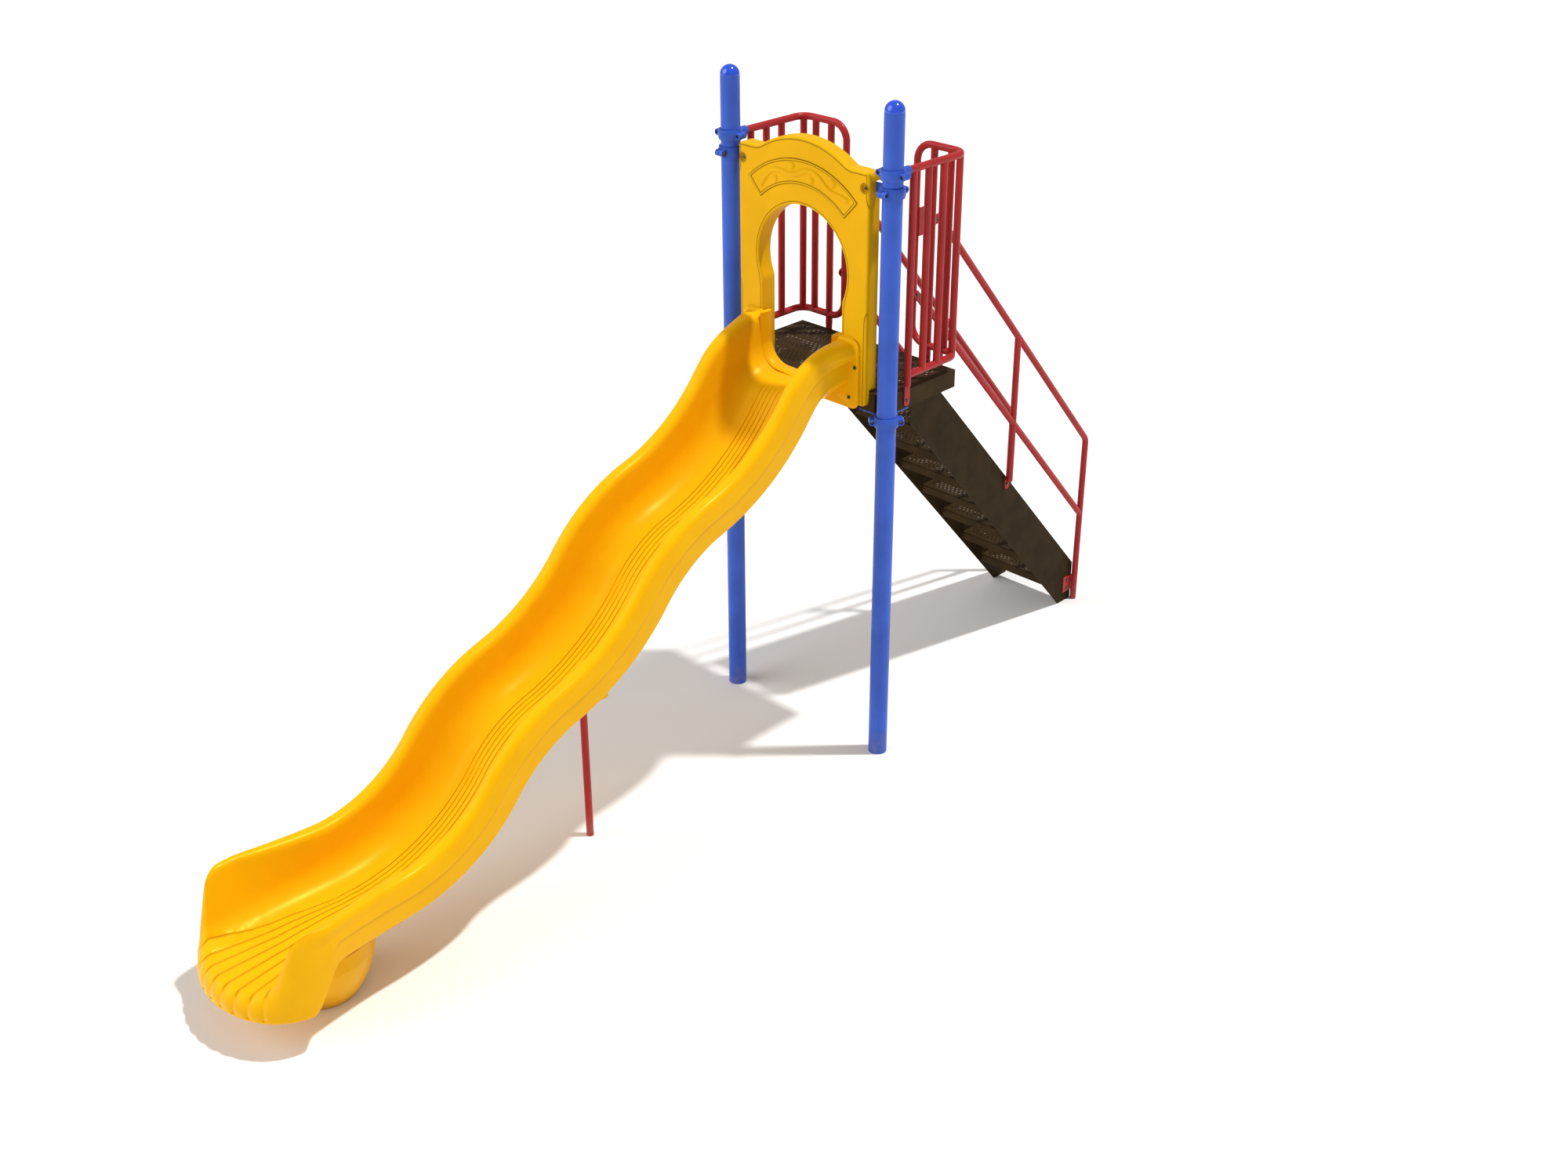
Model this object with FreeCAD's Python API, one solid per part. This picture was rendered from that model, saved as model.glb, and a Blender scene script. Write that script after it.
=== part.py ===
import FreeCAD, Part
import math
import os

# A free-standing playground slide: two round posts carry a perforated deck and a moulded
# entrance panel, a moulded wave slide leaves the deck to the front and a stair with two
# handrails comes up behind, between two guard rails.
#
# Millimetres, +Z up. The slide runs out towards -Y and the stair towards +Y.
# Every Y below is measured from the line between the two posts. The finished pieces are
# moved along Y at the end, so that the middle of the footprint lies on the origin.

# ---------------------------------------------------------------- posts, deck and clearances
deck_height = 1829.0
post_spacing = 952.0
post_diameter = 88.9
post_wall = 3.2
post_end = 261.0
cap_skirt = 60.0
cap_wall = 2.5

seat_gap = 0.3
sheet = 3.0
over_cut = 1.0

deck_side_inset = 0.5
deck_front = -14.0
deck_back = 475.0
deck_skirt = 84.0
deck_return = 26.0
deck_corner_gap = 16.0
deck_stiffener_height = 60.0
deck_stiffener_width = 50.0
deck_stiffener_y = (150.0, 320.0)

# ---------------------------------------------------------------- post clamps
clamp_height = 46.0
clamp_wall = 8.5
clamp_bulge = 3.5
clamp_split = 2.0
clamp_ear_reach = 10.75
clamp_ear_radius = 15.0
clamp_ear_length = 44.0
rail_clamp_offset = 2.0
clamp_spacing = 75.0
deck_clamp_gap = 9.0
deck_bracket_thickness = 8.0
deck_bracket_reach = 150.0
deck_bracket_inset = 1.0
deck_bracket_clearance = 4.0
deck_bracket_arm = 40.0

bolt_diameter = 10.0
bolt_head_diameter = 17.0
bolt_head_height = 6.0
bolt_head_round = 3.6
bolt_socket_radius = 2.5
bolt_socket_depth = 3.0
nut_height = 8.0
thread_end = 2.0
bolt_clearance = 0.5
recess_depth = 11.0

# ---------------------------------------------------------------- guard rails
rail_diameter = 33.4
rail_wall = 2.6
rail_corner_radius = 60.0
rail_end_radius = 80.0
guard_rise = 995.0
guard_foot_gap = 72.0
guard_leg = 131.0
guard_pitch = 100.0
guard_back_pitch = 95.0
rail_socket_reach = 16.75
rail_socket_depth = 26.0
rail_socket_wall = 4.3
foot_tab_thickness = 6.0
foot_tab_width = 36.0
foot_tube_rise = 21.0
foot_tab_overlap = 20.0
foot_tab_hole_drop = 45.0
foot_tab_end = 12.0
gusset_height = 130.0
gusset_width = 52.0
gusset_rise = 636.0
gusset_nose = 46.0

# ---------------------------------------------------------------- stair and handrails
riser = 203.2
stair_slope = 48.2
stringer_outer = 224.6
stringer_thickness = 5.0
stringer_flange = 30.0
stringer_foot_length = 109.0
stringer_top_drop = 1.9
stringer_heel = 218.0
tread_depth = 236.0
tread_setback = 26.0
tread_apron = 38.0
end_post_offset = 6.0
end_post_bend = 60.0
handrail_slope = 48.8
handrail_knee = 961.0
handrail_gap = 2.4
handrail_tab_reach = 106.7
handrail_tab_rise = 626.0
handrail_tab_length = 37.0
mid_rail_slope = 48.1
mid_rail_low = 520.0
mid_rail_tab = 60.0
mid_post_setback = 654.0
mid_post_hole_drop = 32.5
mid_post_base_rise = 21.0
handrail_plate_height = 92.0
handrail_plate_length = 66.0
handrail_plate_base = 56.0

# ---------------------------------------------------------------- entrance panel
panel_side_gap = 38.75
panel_front = -44.0
panel_thickness = 78.0
panel_wall = 6.0
panel_drop = 61.0
panel_shoulder_rise = 69.0
panel_corner_radius = 24.0
panel_blend_radius = 40.0
panel_crown_drop = 381.0
panel_crown_radius = 462.0
panel_edge_radius = 12.0
arch_drop = 480.0
arch_swell = 26.0
arch_edge_radius = 8.0
neck_clearance = 9.0
neck_blend_radius = 60.0
neck_foot_clearance = 2.0
panel_bolt_inset = 26.0
panel_cup_radius = 17.0
panel_cup_depth = 12.0
panel_tab_thickness = 8.0
panel_pocket_width = 62.0
panel_pocket_depth = 34.0
panel_pocket_height = 56.0
panel_tab_gap = 1.5
panel_tab_margin = 4.0
panel_boss_wall = 5.0
banner_drop = 485.0
banner_inner = 362.0
banner_outer = 470.0
banner_half_angle = 43.0
banner_relief = 3.0
banner_border = 8.0

# ---------------------------------------------------------------- slide
flange_thickness = 12.0
flange_side_gap = 32.0
flange_margin = 6.0
flange_rise = 244.0
flange_drop = 78.0
flange_corner_radius = 36.0
flange_bolt_upper_inset = 17.0
flange_bolt_upper_drop = 124.0
flange_bolt_lower_inset = 49.0
flange_bolt_lower_drop = 27.0
entry_inset = 50.0
entry_wall = 24.0
entry_floor_rise = 3.5
entry_corner_radius = 110.0

crest_entry_rise = 235.5
crest_runout = 538.0
entry_slope = 5.0
entry_run = 100.0
entry_radius = 403.0
steep_slope = 50.0
steep_run = 74.0
wave_count = 2
gentle_slope = 16.0
exit_radius = 600.0
runout_slope = 2.0

crest_radius = 36.0
floor_depth = 240.0
floor_corner_radius = 115.0
wall_lean = 5.0
floor_thickness = 65.0
ridge_point = (44.0, -52.0)
ledge_point = (50.0, -86.0)
ledge_step = 5.0
skirt_depth = 172.0
skirt_corner_radius = 12.0
belly_knee_inset = 66.0
belly_knee_height = 5.0
belly_hip_inset = 122.0
belly_hip_drop = 48.0
belly_base_inset = 216.0
entry_swell = 40.0
slide_wall = 7.0

flare_length = 380.0
flare_crest = 62.0
flare_outer = 40.0
flare_crest_radius = 28.0
flare_slope = -1.0
flare_floor = 40.0
flare_steps = 6
lip_reach = 710.0
lip_front_radius = 430.0
lip_corner_radius = 260.0
lip_floor = 282.0
lip_bottom = 174.0
lip_round = 50.0
lip_heel_low = 473.5
lip_heel_high = 380.5
nose_reach = 465.0
nose_radius = 120.0
nose_slope = 78.0

leg_reach = 107.8
lug_reach = 102.0
lug_length = 60.0
lug_width = 18.0
lug_inset = 8.0
lug_depth = 28.0
lug_overlap = 20.0
saddle_size = 110.0
saddle_thickness = 6.0

foot_reach = 248.5
foot_base_radius = 155.0
foot_top_radius = 232.0
foot_wall = 7.0
foot_height = 205.0
foot_bulge = 0.66
foot_bolt_reach = 60.0

# ---------------------------------------------------------------- derived values
post_x = post_spacing / 2
post_radius = post_diameter / 2
rail_radius = rail_diameter / 2
bolt_radius = bolt_diameter / 2
ring_radius = post_radius + seat_gap + clamp_wall
clamp_ear_offset = ring_radius + clamp_ear_reach
tab_offset = seat_gap + foot_tab_thickness / 2
deck_half_width = post_x - deck_side_inset
deck_underside = deck_height - deck_skirt
guard_x = deck_half_width + tab_offset
guard_y = deck_back + tab_offset
guard_top = deck_height + guard_rise
guard_bottom = deck_height + guard_foot_gap
rail_clamp_height = guard_top + rail_clamp_offset
panel_clamp_height = rail_clamp_height - clamp_spacing
deck_clamp_height = deck_underside - deck_clamp_gap - clamp_ear_radius
post_height = rail_clamp_height + post_end
rail_socket_start = ring_radius + rail_socket_reach
rail_socket_end = rail_socket_start + rail_socket_depth
rail_socket_radius = rail_radius + rail_socket_wall
foot_tab_height = foot_tab_hole_drop + foot_tube_rise
gusset_centre = deck_height + gusset_rise

handrail_x = stringer_outer + rail_radius + handrail_gap
guard_end = handrail_x - rail_diameter - seat_gap
handrail_tab_hole = (guard_y + handrail_tab_reach, deck_height + handrail_tab_rise)
handrail_top_start = handrail_tab_hole[0] + handrail_tab_length
stair_tan = math.tan(math.radians(stair_slope))
handrail_tan = math.tan(math.radians(handrail_slope))
stringer_front = deck_back + seat_gap
stringer_rise = deck_height - stringer_top_drop - stringer_heel
stringer_foot_back = stringer_front + stringer_rise / stair_tan
stringer_foot_front = stringer_foot_back - stringer_foot_length
end_post_y = stringer_foot_back + end_post_offset
mid_post_y = stringer_foot_back - mid_post_setback
mid_post_hole = stringer_heel + mid_post_setback * stair_tan - mid_post_hole_drop
mid_post_base = mid_post_hole + mid_post_base_rise
tread_count = round(deck_height / riser) - 1

panel_half_width = post_x - ring_radius - panel_side_gap
panel_back = panel_front + panel_thickness
panel_bottom = deck_height - panel_drop
panel_shoulder = panel_clamp_height + panel_shoulder_rise
panel_crown_centre = panel_shoulder - panel_crown_drop
panel_bolt_x = panel_half_width - panel_bolt_inset
arch_centre = panel_shoulder - arch_drop
banner_centre = panel_shoulder - banner_drop

flange_half_width = panel_half_width - flange_side_gap
crest_offset = flange_half_width - flange_margin - entry_swell - ledge_point[0]
entry_half_width = crest_offset - entry_inset
neck_half_width = entry_half_width + entry_wall + neck_clearance
arch_radius = neck_half_width + arch_swell
neck_foot_radius = entry_corner_radius + entry_wall + neck_foot_clearance
belly_base = crest_offset + ledge_point[0] - belly_base_inset
flange_top = deck_height + flange_rise
flange_bottom = deck_height - flange_drop
flange_bolt_upper = (flange_half_width - flange_bolt_upper_inset, flange_top - flange_bolt_upper_drop)
flange_bolt_lower = (flange_half_width - flange_bolt_lower_inset, deck_height - flange_bolt_lower_drop)
entry_floor = deck_height + entry_floor_rise
crest_entry = deck_height + crest_entry_rise
floor_half_width = crest_offset - crest_radius - wall_lean - floor_corner_radius

# Each wave has two arcs that fall by wave_radius times the difference of the slopes' cosines.
entry_sin = math.sin(math.radians(entry_slope))
entry_cos = math.cos(math.radians(entry_slope))
steep_sin = math.sin(math.radians(steep_slope))
steep_cos = math.cos(math.radians(steep_slope))
gentle_cos = math.cos(math.radians(gentle_slope))
runout_cos = math.cos(math.radians(runout_slope))
entry_fall = entry_run * entry_sin + entry_radius * (entry_cos - steep_cos) + steep_run * steep_sin
exit_fall = exit_radius * (runout_cos - steep_cos)
wave_fall = crest_entry - crest_runout - entry_fall - exit_fall
wave_radius = wave_fall / (2 * wave_count * (gentle_cos - steep_cos))

X = FreeCAD.Vector(1, 0, 0)
Y = FreeCAD.Vector(0, 1, 0)
Z = FreeCAD.Vector(0, 0, 1)
ORIGIN = FreeCAD.Vector(0, 0, 0)


# ---------------------------------------------------------------- crest line
def along_slope(slope):
    angle = math.radians(slope)
    return FreeCAD.Vector(0, -math.cos(angle), -math.sin(angle))


def above_slope(slope):
    angle = math.radians(slope)
    return FreeCAD.Vector(0, -math.sin(angle), math.cos(angle))


def wave_path():
    """The crest line's stretches, each as an edge, and the point and slope at each stretch's start."""
    bends = [(entry_radius, steep_slope), (None, steep_run)]
    bends += [(wave_radius, gentle_slope), (wave_radius, steep_slope)] * wave_count
    bends.append((exit_radius, runout_slope))
    point = FreeCAD.Vector(0, panel_front, crest_entry) + along_slope(entry_slope) * entry_run
    slope = entry_slope
    edges = []
    places = [(point, slope)]
    for radius, value in bends:
        if radius is None:
            end = point + along_slope(slope) * value
            edges.append(Part.makeLine(point, end))
        else:
            toward = 1 if value < slope else -1
            centre = point + above_slope(slope) * radius * toward
            middle = centre - above_slope((slope + value) / 2) * radius * toward
            end = centre - above_slope(value) * radius * toward
            edges.append(Part.Arc(point, middle, end).toShape())
            slope = value
        point = end
        places.append((point, slope))
    return edges, places


crest_edges, crest_places = wave_path()
runout_start = crest_places[-1][0]
lip_front = lip_reach - runout_start.y
nose_start = nose_reach - runout_start.y
lip_heel = (lip_heel_low - runout_start.y, lip_heel_high - runout_start.y)
foot_y = runout_start.y - foot_reach
leg_y = crest_places[-4][0].y - leg_reach
footprint_back = end_post_y + rail_radius
to_origin = FreeCAD.Vector(0, (lip_front - footprint_back) / 2, 0)


# ---------------------------------------------------------------- helpers
def vec(x, y, z):
    return FreeCAD.Vector(x, y, z)


def box(x_range, y_range, z_range):
    size = [high - low for low, high in (x_range, y_range, z_range)]
    return Part.makeBox(*size, vec(x_range[0], y_range[0], z_range[0]))


def rod(start, direction, radius, length):
    return Part.makeCylinder(radius, length, start, direction)


def mirrored(shape):
    return shape.mirror(ORIGIN, X)


def joined(shapes):
    """One solid from overlapping or touching solids."""
    solid = shapes[0].fuse(list(shapes[1:]))
    return solid.removeSplitter()


def prism(wire, direction):
    return Part.Face(wire).extrude(direction)


def polygon(points):
    return Part.makePolygon(list(points) + [points[0]])


def rounded_path(points, radii):
    """Straight runs between the points, joined by tangent arcs of the radii given."""
    edges = []
    start = points[0]
    for before, corner, after, radius in zip(points, points[1:], points[2:], radii):
        toward = (corner - before).normalize()
        away = (after - corner).normalize()
        turn = toward.getAngle(away)
        setback = radius * math.tan(turn / 2)
        arc_start = corner - toward * setback
        arc_end = corner + away * setback
        inward = (away - toward).normalize()
        middle = corner + inward * (radius / math.cos(turn / 2) - radius)
        edges.append(Part.makeLine(start, arc_start))
        edges.append(Part.Arc(arc_start, middle, arc_end).toShape())
        start = arc_end
    edges.append(Part.makeLine(start, points[-1]))
    return Part.Wire(edges)


def swept(path, profile):
    return path.makePipeShell([profile], True, False)


def pipe(points, radii, outer, inner):
    """A bent round tube: the outer sweep less the inner one."""
    path = rounded_path(points, radii)
    along = points[1] - points[0]
    skin, bore = [swept(path, Part.Wire(Part.makeCircle(radius, points[0], along)))
                  for radius in (outer, inner)]
    return skin.cut(bore)


def straight_tube(start, end, outer, inner):
    along = end - start
    skin, bore = [rod(start, along, radius, along.Length) for radius in (outer, inner)]
    return skin.cut(bore)


def hex_nut(centre, direction, height, bore_radius):
    """A nut seated at the centre given and standing out along the direction."""
    across_corners = bolt_head_diameter / math.sqrt(3)
    side = direction.cross(Z if abs(direction.z) < 0.9 else X).normalize() * across_corners
    corners = []
    for step in range(6):
        turn = FreeCAD.Rotation(direction, 60 * step)
        corners.append(centre + turn.multVec(side))
    nut = prism(polygon(corners), direction * height)
    return nut.cut(rod(centre, direction, bore_radius, height))


def button_bolt(seat, direction, grip):
    """A button-head bolt: the head stands at the seat and the shank runs on along the direction."""
    head = rod(seat - direction * bolt_head_height, direction, bolt_head_diameter / 2, bolt_head_height)
    rim = [edge for edge in head.Edges if edge.Length > bolt_head_diameter * 3
           and abs((edge.CenterOfMass - (seat - direction * bolt_head_height)).dot(direction)) < 0.01]
    head = head.makeFillet(bolt_head_round, rim)
    socket = rod(seat - direction * bolt_head_height, direction, bolt_socket_radius, bolt_socket_depth)
    return head.fuse(rod(seat, direction, bolt_radius, grip)).cut(socket).removeSplitter()


def foot_tab(hole, outward, top):
    """The flattened foot of a tube: an upright strip with a round end and one bolt hole."""
    across = outward.cross(Z)
    back = hole - outward * foot_tab_thickness / 2
    low = back - Z * foot_tab_end
    strip = [low - across * foot_tab_width / 2, low + across * foot_tab_width / 2]
    strip += [point + Z * (top - low.z) for point in reversed(strip)]
    plate = prism(polygon(strip), outward * foot_tab_thickness)
    end = rod(low, outward, foot_tab_width / 2, foot_tab_thickness)
    bore = rod(back, outward, bolt_radius + bolt_clearance, foot_tab_thickness)
    return joined([plate, end]).cut(bore)


def flat_foot(hole, outward, tube_base, tube_x_y):
    """A tube's round end run down into its flattened foot."""
    tab = foot_tab(hole, outward, tube_base + foot_tab_overlap)
    collar = rod(vec(tube_x_y[0], tube_x_y[1], tube_base), Z, rail_radius, foot_tab_overlap)
    return joined([tab, collar])


# ---------------------------------------------------------------- posts and caps
def post():
    return straight_tube(vec(post_x, 0, 0), vec(post_x, 0, post_height),
                         post_radius, post_radius - post_wall)


def post_cap():
    """A domed plug: a hemisphere on the tube's end over a spigot inside the bore."""
    dome = Part.makeSphere(post_radius, vec(post_x, 0, post_height), Z, 0, 90, 360)
    spigot = rod(vec(post_x, 0, post_height - cap_skirt), Z, post_radius - post_wall - seat_gap, cap_skirt)
    hollow = rod(vec(post_x, 0, post_height - cap_skirt), Z,
                 post_radius - post_wall - seat_gap - cap_wall, cap_skirt)
    return joined([dome, spigot]).cut(hollow)


# ---------------------------------------------------------------- clamps
def clamp_ring():
    """A barrel-shaped ring about the post's axis, at the origin."""
    inner = post_radius + seat_gap
    half = clamp_height / 2
    low = vec(inner, 0, -half)
    outline = [
        Part.makeLine(low, vec(ring_radius, 0, -half)),
        Part.Arc(vec(ring_radius, 0, -half), vec(ring_radius + clamp_bulge, 0, 0),
                 vec(ring_radius, 0, half)).toShape(),
        Part.makeLine(vec(ring_radius, 0, half), vec(inner, 0, half)),
        Part.makeLine(vec(inner, 0, half), low),
    ]
    return Part.Face(Part.Wire(outline)).revolve(ORIGIN, Z, 360)


def clamp_pair():
    """The two halves of a clamp at the origin, split across Y, with bolts along Y.

    The front half lies at -Y and holds the recessed bolt heads.
    """
    ears = []
    bores = []
    for side in (-1, 1):
        axis = vec(side * clamp_ear_offset, 0, 0)
        start = axis - Y * clamp_ear_length / 2
        ears.append(rod(start, Y, clamp_ear_radius, clamp_ear_length))
        web = box((min(0, axis.x), max(0, axis.x)), (-clamp_ear_length / 2, clamp_ear_length / 2),
                  (-clamp_ear_radius, clamp_ear_radius))
        ears.append(web)
        bores.append(rod(start, Y, bolt_radius + bolt_clearance, clamp_ear_length))
        bores.append(rod(start, Y, bolt_head_diameter / 2 + bolt_clearance, recess_depth))
    body = joined([clamp_ring()] + ears)
    body = body.cut(rod(vec(0, 0, -post_height), Z, post_radius + seat_gap, post_height * 2))
    for bore in bores:
        body = body.cut(bore)
    reach = clamp_ear_offset * 2
    halves = []
    for y_range in ((-reach, -clamp_split / 2), (clamp_split / 2, reach)):
        halves.append(body.common(box((-reach, reach), y_range, (-reach, reach))))
    return halves


def clamp_bolts():
    """Two bolts from the recesses of the front half, with nuts behind the back half."""
    bolts = []
    nuts = []
    seat = -clamp_ear_length / 2 + recess_depth
    grip = clamp_ear_length - recess_depth + nut_height + thread_end
    for side in (-1, 1):
        x = side * clamp_ear_offset
        bolts.append(button_bolt(vec(x, seat, 0), Y, grip))
        nuts.append(hex_nut(vec(x, clamp_ear_length / 2, 0), Y, nut_height, bolt_radius))
    return bolts, nuts


def placed(shape, height, turn):
    """A clamp piece turned about the post's axis and set on the +X post."""
    copy = shape.copy()
    copy.rotate(ORIGIN, Z, turn)
    copy.translate(vec(post_x, 0, height))
    return copy


def rail_socket():
    """The boss of the back rail clamp that takes the end of the guard rail."""
    start = vec(guard_x, 0, guard_top)
    boss = rod(start, Y, rail_socket_radius, rail_socket_end).cut(post_clearance())
    bore = rod(vec(guard_x, rail_socket_start, guard_top), Y, rail_radius + seat_gap / 2,
               rail_socket_end - rail_socket_start)
    return boss.cut(bore).cut(box((0, post_x * 2), (-post_spacing, clamp_split / 2), (0, post_height)))


def panel_tab():
    """The flat tab of the inner panel clamp, in the pocket at the panel's side."""
    inner_end = panel_half_width - panel_pocket_width + panel_tab_gap
    half = panel_pocket_height / 2 - panel_tab_margin
    front = pocket_floor() + seat_gap
    tab = box((inner_end, post_x - post_radius - seat_gap), (front, front + panel_tab_thickness),
              (panel_clamp_height - half, panel_clamp_height + half))
    bore = bolt_hole(vec(panel_bolt_x, panel_front, panel_clamp_height), Y, panel_thickness * 2)
    return tab.cut(bore).cut(post_clearance())


def post_clearance():
    """The post's outside with its seat gap."""
    return rod(vec(post_x, 0, 0), Z, post_radius + seat_gap, post_height)


def deck_bracket():
    """A corner plate of the inner deck clamp, under the deck's side and front returns."""
    side = deck_half_width - deck_bracket_inset
    front = deck_front + deck_bracket_inset
    near = ring_radius + deck_bracket_clearance
    corners = [(side, near), (side, deck_bracket_reach), (side - deck_return, deck_bracket_reach),
               (post_x - deck_bracket_reach, front + deck_return), (post_x - deck_bracket_reach, front),
               (post_x - near, front)]
    base = deck_underside - deck_bracket_thickness
    plate = prism(polygon([vec(x, y, base) for x, y in corners]), Z * (deck_bracket_thickness - seat_gap))
    half = deck_bracket_arm / 2
    arm = box((0, ring_radius + deck_bracket_arm), (-half, half),
              (deck_clamp_height - deck_bracket_thickness, deck_underside - seat_gap))
    arm.rotate(ORIGIN, Z, 135)
    arm.translate(vec(post_x, 0, 0))
    bracket = joined([plate, arm]).cut(post_clearance())
    for x, y in bracket_bolt_places():
        bracket = bracket.cut(bolt_hole(vec(x, y, base), Z, deck_bracket_thickness))
    return bracket


def clamp_nodes():
    """All clamp halves for the +X post, and their bolts and nuts."""
    front, back = clamp_pair()
    bolts, nuts = clamp_bolts()
    nodes = {
        "rail_clamp_front": placed(front, rail_clamp_height, 0),
        "rail_clamp_back": joined([placed(back, rail_clamp_height, 0), rail_socket()]),
        "panel_clamp_outer": placed(front, panel_clamp_height, 90),
        "panel_clamp_inner": joined([placed(back, panel_clamp_height, 90), panel_tab()]),
        "deck_clamp_outer": placed(front, deck_clamp_height, 45),
        "deck_clamp_inner": joined([placed(back, deck_clamp_height, 45), deck_bracket()]),
    }
    turns = ((rail_clamp_height, 0), (panel_clamp_height, 90), (deck_clamp_height, 45))
    all_bolts = [placed(bolt, height, turn) for height, turn in turns for bolt in bolts]
    all_nuts = [placed(nut, height, turn) for height, turn in turns for nut in nuts]
    return nodes, all_bolts, all_nuts


# ---------------------------------------------------------------- deck
def deck_outline(inset, height):
    """The deck's plan with its corners cut round at the posts, drawn in by the inset."""
    side = deck_half_width - inset
    front = deck_front + inset
    back = deck_back - inset
    notch = post_radius + deck_corner_gap + inset
    side_y = math.sqrt(notch ** 2 - (side - post_x) ** 2)
    front_x = post_x - math.sqrt(notch ** 2 - front ** 2)
    middle = vec(post_x - notch * math.sin(math.radians(45)), notch * math.cos(math.radians(45)), height)
    right = [
        Part.makeLine(vec(0, front, height), vec(front_x, front, height)),
        Part.Arc(vec(front_x, front, height), middle, vec(side, side_y, height)).toShape(),
        Part.makeLine(vec(side, side_y, height), vec(side, back, height)),
        Part.makeLine(vec(side, back, height), vec(0, back, height)),
    ]
    return Part.Wire(Part.sortEdges(right + [mirrored(edge) for edge in right])[0])


def deck_panel():
    """A pressed tray: top sheet, skirts all round and a narrow return along their lower edge."""
    shell = prism(deck_outline(0, deck_underside), Z * deck_skirt)
    hollow = prism(deck_outline(sheet, deck_underside + sheet), Z * (deck_skirt - 2 * sheet))
    mouth = prism(deck_outline(deck_return, deck_underside), Z * sheet)
    tray = shell.cut(hollow).cut(mouth)
    for hole in deck_holes():
        tray = tray.cut(hole)
    return tray


def bolt_hole(point, direction, length):
    return rod(point, direction, bolt_radius + bolt_clearance, length)


def deck_holes():
    """Bolt holes in the tray's skirts and returns."""
    holes = []
    depth = sheet + 2 * over_cut
    for x, z in stringer_bolt_places() + [(guard_legs_back_x(), guard_hole_z())]:
        for side in (-1, 1):
            holes.append(bolt_hole(vec(side * x, deck_back + over_cut, z), -Y, depth))
    for side in (-1, 1):
        x, z = flange_bolt_lower
        holes.append(bolt_hole(vec(side * x, deck_front - over_cut, z), Y, depth))
        start = vec(side * (deck_half_width + over_cut), guard_leg, guard_hole_z())
        holes.append(bolt_hole(start, X * -side, depth))
        for x, y in bracket_bolt_places():
            holes.append(bolt_hole(vec(side * x, y, deck_underside - over_cut), Z, depth))
    return holes


def deck_stiffeners():
    """Two folded channels welded under the top sheet from skirt to skirt."""
    length = deck_half_width - sheet
    top = deck_height - sheet
    channels = []
    for y in deck_stiffener_y:
        outer = box((-length, length), (y, y + deck_stiffener_width), (top - deck_stiffener_height, top))
        inner = box((-length, length), (y + sheet, y + deck_stiffener_width - sheet),
                    (top - deck_stiffener_height, top - sheet))
        channels.append(outer.cut(inner))
    return channels


def bracket_bolt_places():
    middle = deck_return / 2
    reach = deck_bracket_reach - middle * 2
    return [(deck_half_width - middle, reach), (post_x - reach, deck_front + middle)]


# ---------------------------------------------------------------- guard rails
def guard_legs_back_x():
    return guard_end + guard_back_pitch


def guard_hole_z():
    return deck_height - foot_tab_hole_drop


def guard_rail():
    """One bent tube: from the post clamp round the deck's corner, down the open end and back below."""
    points = [
        vec(guard_x, rail_socket_start + seat_gap, guard_top),
        vec(guard_x, guard_y, guard_top),
        vec(guard_end, guard_y, guard_top),
        vec(guard_end, guard_y, guard_bottom),
        vec(guard_x, guard_y, guard_bottom),
        vec(guard_x, guard_leg, guard_bottom),
    ]
    radii = [rail_corner_radius, rail_end_radius, rail_end_radius, rail_corner_radius]
    rail = pipe(points, radii, rail_radius, rail_radius - rail_wall)
    leg = rod(vec(guard_x, guard_leg, 0), Z, rail_radius + seat_gap, guard_bottom + rail_diameter)
    rail = rail.cut(leg)
    return rail.cut(bolt_hole(vec(0, guard_y, mid_rail_hole_z()), X, guard_end * 2))


def rail_envelope(height):
    """The solid outside of a horizontal run of the rail, with the weld gap, for coping tubes to it."""
    points = [vec(guard_x, 0, height), vec(guard_x, guard_y, height), vec(guard_end / 2, guard_y, height)]
    path = rounded_path(points, [rail_corner_radius])
    return swept(path, Part.Wire(Part.makeCircle(rail_radius + seat_gap, points[0], Y)))


def guard_upright(x, y, base):
    """A round tube from the base to the upper rail, parted where the lower rail passes."""
    tube = straight_tube(vec(x, y, base), vec(x, y, guard_top), rail_radius, rail_radius - rail_wall)
    tube = tube.cut(rail_envelope(guard_top))
    return tube


def picket_run(start, pitch, end):
    """Places a pitch apart after the start, as far as a tube stays clear of the end."""
    count = math.ceil((end - rail_diameter - start) / pitch) - 1
    return [start + pitch * step for step in range(1, count + 1)]


def guard_pickets():
    """The uprights between the two rails: along the side, in the corner and along the back."""
    bend = rail_corner_radius * (1 - math.cos(math.radians(45)))
    corner = (guard_x - bend, guard_y - bend)
    places = [(guard_x, y) for y in picket_run(guard_leg, guard_pitch, corner[1])]
    places.append(corner)
    places += [(x, guard_y) for x in picket_run(guard_legs_back_x(), guard_back_pitch, corner[0])]
    lower = rail_envelope(guard_bottom)
    return [guard_upright(x, y, guard_bottom).cut(lower) for x, y in places]


def guard_foot(x, y, outward):
    """The lower end of a leg, flattened into a tab outside the deck's skirt."""
    hole = vec(x, y, guard_hole_z())
    return flat_foot(hole, outward, guard_hole_z() + foot_tab_height, (x, y))


def guard_legs():
    """The two uprights that run on below the lower rail and bolt to the deck."""
    base = guard_hole_z() + foot_tab_height
    side_leg = joined([guard_upright(guard_x, guard_leg, base), guard_foot(guard_x, guard_leg, X)])
    back_x = guard_legs_back_x()
    lower = rail_envelope(guard_bottom)
    back_leg = joined([guard_upright(back_x, guard_y, base), guard_foot(back_x, guard_y, Y)]).cut(lower)
    return [side_leg] + back_leg.Solids


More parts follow.
